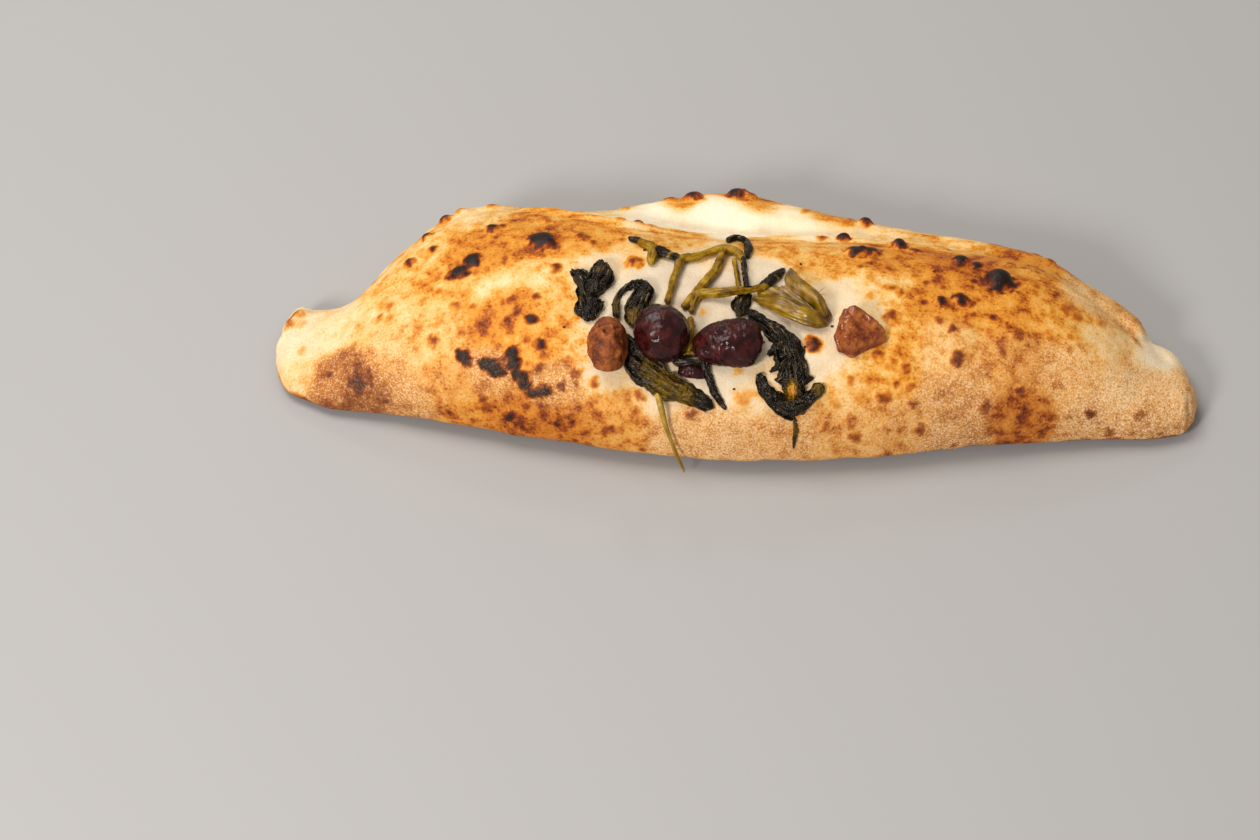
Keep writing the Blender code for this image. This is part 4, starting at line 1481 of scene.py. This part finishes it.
STEM_SLIM = 0.86
STEM_ROUTES = (
    STEM_ARCH,
    STEM_FORK,
    STEM_FORK_TAIL,
    STEM_CROSS,
    STEM_SPRIG,
    STEM_BUD,
    STEM_THIN_LEG,
)
stems = bmesh.new()
for route in STEM_ROUTES:
    slim = [(x, y, lift, STEM_SLIM * wide, thick) for x, y, lift, wide, thick in route]
    add_strand(stems, slim, rings=140, sides=24, ribs=5, rib_depth=0.1)
stems = as_piece("forked_stem_ridges", stems)
fuse(stems, 0.3, 1)
pleat(stems, STEM_ROUTES, 16.0, 0.7, 0.6, 91)
wrinkle(stems, ((5.0, 0.7), (1.6, 0.15)), 91)
keep_out(stems)
mark_fibres(stems, STEM_ROUTES)
tinge(
    stems,
    "browned",
    (
        (-40.0, 8.0, 5.0, 1.0),
        (-27.0, 0.5, 3.6, 0.9),
        (-22.5, -3.0, 2.6, 0.8),
        (3.6, -2.0, 1.6, 1.0),
        (4.0, -4.6, 1.7, 1.2),
        (4.2, -7.0, 1.7, 1.2),
        (4.6, -9.6, 1.7, 1.2),
        (5.0, -12.4, 1.7, 1.2),
        (5.4, -15.4, 1.9, 1.2),
        (5.6, -18.6, 2.2, 1.2),
        (14.0, -13.5, 3.4, 1.0),
        (17.8, -8.3, 3.4, 1.2),
        (-22.6, -19.0, 3.0, 0.35),
    ),
)
front_stem = bmesh.new()
add_strand(front_stem, STEM_FRONT, rings=120, sides=20, ribs=4, rib_depth=0.12, draped=False)
front_stem = as_piece("front_stem_ridges", front_stem)
tinge(front_stem, "browned", ((-14.2, -71.0, 4.0, 0.4),))
mark_fibres(front_stem, (STEM_FRONT,))


def stem_finish(name, dark, mid, light, brown):
    material, tree, shader = new_finish(name)
    streak = fibres(tree, 9.0, 0.6)
    patch = clouds(tree, 4.5, 2.0, 0.5, 6.0)
    tone = sums(tree, "MULTIPLY_ADD", streak, 0.45, sums(tree, "MULTIPLY", patch, 0.55))
    green = ramp(tree, tone, ((0.36, dark), (0.5, mid), (0.66, light)))
    browned = sums(tree, "MULTIPLY_ADD", streak, 0.3, read(tree, "browned"))
    browned = window(tree, browned, 0.45, 0.8)
    tree.links.new(blend(tree, browned, green, brown), shader.inputs["Base Color"])
    tree.links.new(window(tree, patch, 0.35, 0.65, 0.2, 0.36), shader.inputs["Roughness"])
    shader.inputs["Specular IOR Level"].default_value = 0.22
    shader.inputs["Coat Weight"].default_value = 0.03
    shader.inputs["Coat Roughness"].default_value = 0.2
    bump = add(tree, "ShaderNodeBump", {"Height": streak, "Distance": 0.3 * MM, "Strength": 0.6})
    tree.links.new(bump.outputs[0], shader.inputs["Normal"])
    return material


limp_green = stem_finish(
    "limp_stem", shown(84, 54, 0), shown(142, 104, 4), shown(188, 150, 38), shown(28, 17, 4)
)
pale_green = stem_finish(
    "pale_stem", shown(142, 108, 26), shown(176, 142, 52), shown(200, 170, 84), shown(90, 60, 20)
)
for piece, finish, node, slot in (
    (stems, limp_green, "stem_forked", "forked_stem"),
    (front_stem, pale_green, "stem_front", "front_stem"),
):
    piece.data.materials.clear()
    piece.data.materials.append(finish)
    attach(piece, "root")
    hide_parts(node)

# --- Small curls and scraps ----------------------------------------------------------------------
# What fell between the bigger toppings: black curls and shreds of leaf, the stalk under the right
# leaf, a green stub and loop between the dark olives, fine hairs and crumbs of dried herb.

CURL_DARK = (
    (-3.4, 12.8, 0.2, 1.0, 0.9),
    (-2.6, 15.2, 0.3, 1.3, 1.0),
    (0.1, 17.4, 0.4, 1.2, 1.0),
    (3.2, 14.4, 0.3, 1.1, 1.0),
    (4.7, 7.2, 0.2, 1.5, 1.2),
    (4.5, 0.8, 0.2, 0.9, 0.8),
)
TIP_DARK = (
    (9.8, -16.6, 0.8, 1.0, 0.9),
    (12.6, -13.2, 0.6, 1.4, 1.0),
    (15.4, -9.6, 0.4, 1.7, 1.0),
    (17.6, -6.8, 0.3, 1.1, 0.8),
    (18.8, -4.8, 0.2, 0.3, 0.4),
)
SHRED_DARK = (
    (-8.8, -47.5, 1.4, 1.4, 1.1),
    (-8.0, -50.6, 0.6, 1.6, 1.2),
    (-6.4, -53.4, 0.3, 1.5, 1.0),
    (-4.4, -57.0, 0.3, 1.4, 1.0),
    (-1.8, -59.5, 0.2, 1.2, 0.8),
    (0.4, -61.4, 0.2, 0.6, 0.5),
)
TWIST_DARK = (
    (-20.0, -46.6, 0.3, 1.4, 1.0),
    (-17.6, -48.6, 0.5, 2.6, 1.6),
    (-13.8, -49.2, 0.6, 2.9, 1.6),
    (-10.2, -48.8, 0.7, 2.8, 1.6),
    (-7.2, -47.2, 0.5, 1.8, 1.2),
)
LOOP_GREEN = (
    (-17.0, -49.4, 1.2, 0.6, 0.6),
    (-15.8, -47.6, 2.0, 0.8, 0.7),
    (-13.2, -46.8, 2.3, 0.8, 0.7),
    (-10.8, -47.4, 2.2, 0.8, 0.7),
    (-10.6, -49.2, 1.6, 0.8, 0.7),
    (-12.8, -49.8, 1.4, 0.9, 0.8),
    (-15.2, -49.6, 1.2, 0.6, 0.6),
)
STUB_GREEN = (
    (-14.3, -32.0, 0.4, 1.0, 1.0),
    (-14.2, -35.5, 1.6, 1.5, 1.4),
    (-14.0, -40.0, 2.0, 1.7, 1.5),
    (-14.2, -45.0, 1.4, 1.5, 1.3),
    (-14.6, -48.0, 0.6, 1.1, 1.0),
)
FOOT_STALK = (
    (25.3, -61.4, 0.2, 0.7, 0.7),
    (25.6, -62.6, 0.2, 0.6, 0.6),
    (25.9, -63.8, 0.3, 1.0, 0.9),
    (25.6, -64.8, 0.3, 1.4, 1.0),
    (25.2, -65.6, 0.2, 0.8, 0.7),
)
BRISTLES = (
    (
        (30.3, -19.9, 1.8, 0.16, 0.16),
        (32.0, -18.1, 2.4, 0.14, 0.14),
        (34.2, -16.0, 3.0, 0.08, 0.08),
    ),
    (
        (30.6, -20.4, 1.6, 0.16, 0.16),
        (32.6, -19.4, 2.0, 0.14, 0.14),
        (34.6, -18.6, 2.2, 0.08, 0.08),
    ),
)

dark_bits = bmesh.new()
for route in (CURL_DARK, TIP_DARK, SHRED_DARK, TWIST_DARK, FOOT_STALK):
    add_strand(dark_bits, route, rings=70, sides=20, ribs=3, rib_depth=0.14)
dark_bits = as_piece("dark_curls", dark_bits)
pleat(dark_bits, (CURL_DARK, TIP_DARK, SHRED_DARK, TWIST_DARK), 6.0, 0.8, 1.0, 101)
keep_out(dark_bits)
tinge(dark_bits, "tender", ((25.8, -64.0, 1.6, 0.7),))
mark_fibres(dark_bits, (CURL_DARK, TIP_DARK, SHRED_DARK, TWIST_DARK, FOOT_STALK))
dark_bits.data.materials.append(wilted)

green_bits = bmesh.new()
for route in (LOOP_GREEN, STUB_GREEN):
    add_strand(green_bits, route, rings=70, sides=20, ribs=4, rib_depth=0.12)
green_bits = as_piece("green_tendrils", green_bits)
pleat(green_bits, (LOOP_GREEN, STUB_GREEN), 6.0, 0.8, 0.7, 107)
keep_out(green_bits)
tinge(green_bits, "browned", ((-15.0, -50.0, 2.4, 0.6), (-12.0, -49.0, 4.0, 0.5)))
mark_fibres(green_bits, (LOOP_GREEN, STUB_GREEN))
green_bits.data.materials.append(limp_green)

bristles = bmesh.new()
for route in BRISTLES:
    add_strand(bristles, route, rings=16, sides=6, rounding=0.1)
bristles = as_piece("leaf_bristles", bristles)
tinge(bristles, "browned", ())
mark_fibres(bristles, BRISTLES)
bristles.data.materials.append(pale_green)

# Crumbs of dried herb: x, y and radius.
HERB_CRUMBS = (
    (37.4, -32.0, 0.5),
    (24.6, -1.0, 0.4),
    (-34.0, 2.0, 0.45),
    (-47.0, -26.0, 0.4),
    (13.0, -40.0, 0.35),
    (28.0, -41.0, 0.4),
    (-60.5, -37.0, 0.4),
    (3.0, -56.0, 0.4),
)
crumbs = bmesh.new()
for x, y, radius in HERB_CRUMBS:
    place = Matrix.Translation(Vector((x, y, height_at(x, y) + 0.6 * radius)) * MM)
    flat = Matrix.Diagonal((1.3, 0.9, 0.6, 1.0))
    bmesh.ops.create_icosphere(crumbs, subdivisions=2, radius=radius * MM, matrix=place @ flat)
crumbs = as_piece("herb_crumbs", crumbs)
wrinkle(crumbs, ((0.8, 0.3),), 113)
tinge(crumbs, "tender", ())
mark_fibres(crumbs, (SHRED_DARK,))
crumbs.data.materials.append(wilted)
for piece in (dark_bits, green_bits, bristles, crumbs):
    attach(piece, "root")

# --- Floor, light and camera ---------------------------------------------------------------------
# A plain pale floor under three soft studio lights: a broad one above on the left, a small one
# behind, and a low one in front that puts the shine on the olives.

FLOOR_SIZE = 6000.0

plane = bmesh.new()
bmesh.ops.create_grid(plane, x_segments=1, y_segments=1, size=FLOOR_SIZE / 2 * MM)
floor = as_piece("studio_floor", plane)
material, tree, shader = new_finish("studio_paper")
shader.inputs["Base Color"].default_value = shown(174, 172, 170)
shader.inputs["Roughness"].default_value = 0.85
floor.data.materials.append(material)


def soft_light(name, place, aim, size, watts, colour, shine=1.0):
    lamp = bpy.data.lights.new(name, "AREA")
    lamp.shape = "DISK"
    lamp.size = size
    lamp.energy = watts
    lamp.color = colour
    lamp.specular_factor = shine
    holder = bpy.data.objects.new(name, lamp)
    holder.location = place
    toward = Vector(aim) - Vector(place)
    holder.rotation_euler = toward.to_track_quat("-Z", "Y").to_euler()
    bpy.context.scene.collection.objects.link(holder)


soft_light("ceiling_panel", (-0.66, 0.2, 1.5), (0, 0, 0), 1.0, 15.0, (1.0, 0.98, 0.96), 0.08)
soft_light("back_panel", (-0.35, 1.0, 1.0), (0, 0, 0), 0.25, 1.5, (1.0, 0.98, 0.96), 0.4)
soft_light("front_panel", (-0.66, -1.15, 0.8), (0, 0, 0), 0.35, 14.2, (1.0, 0.98, 0.97))

world = bpy.data.worlds.new("studio")
world.use_nodes = True
world.node_tree.nodes["Background"].inputs["Color"].default_value = (1.0, 0.97, 0.92, 1.0)
world.node_tree.nodes["Background"].inputs["Strength"].default_value = 0.4
bpy.context.scene.world = world
bpy.context.scene.view_settings.view_transform = "Standard"

lens = bpy.data.cameras.new("camera")
lens.lens = 85.71
camera = bpy.data.objects.new("camera", lens)
camera.location = (0.04665, -0.79859, 0.83012)
camera.rotation_euler = Euler([math.radians(a) for a in (42.471, 1.398, 4.773)])
bpy.context.scene.collection.objects.link(camera)
bpy.context.scene.camera = camera
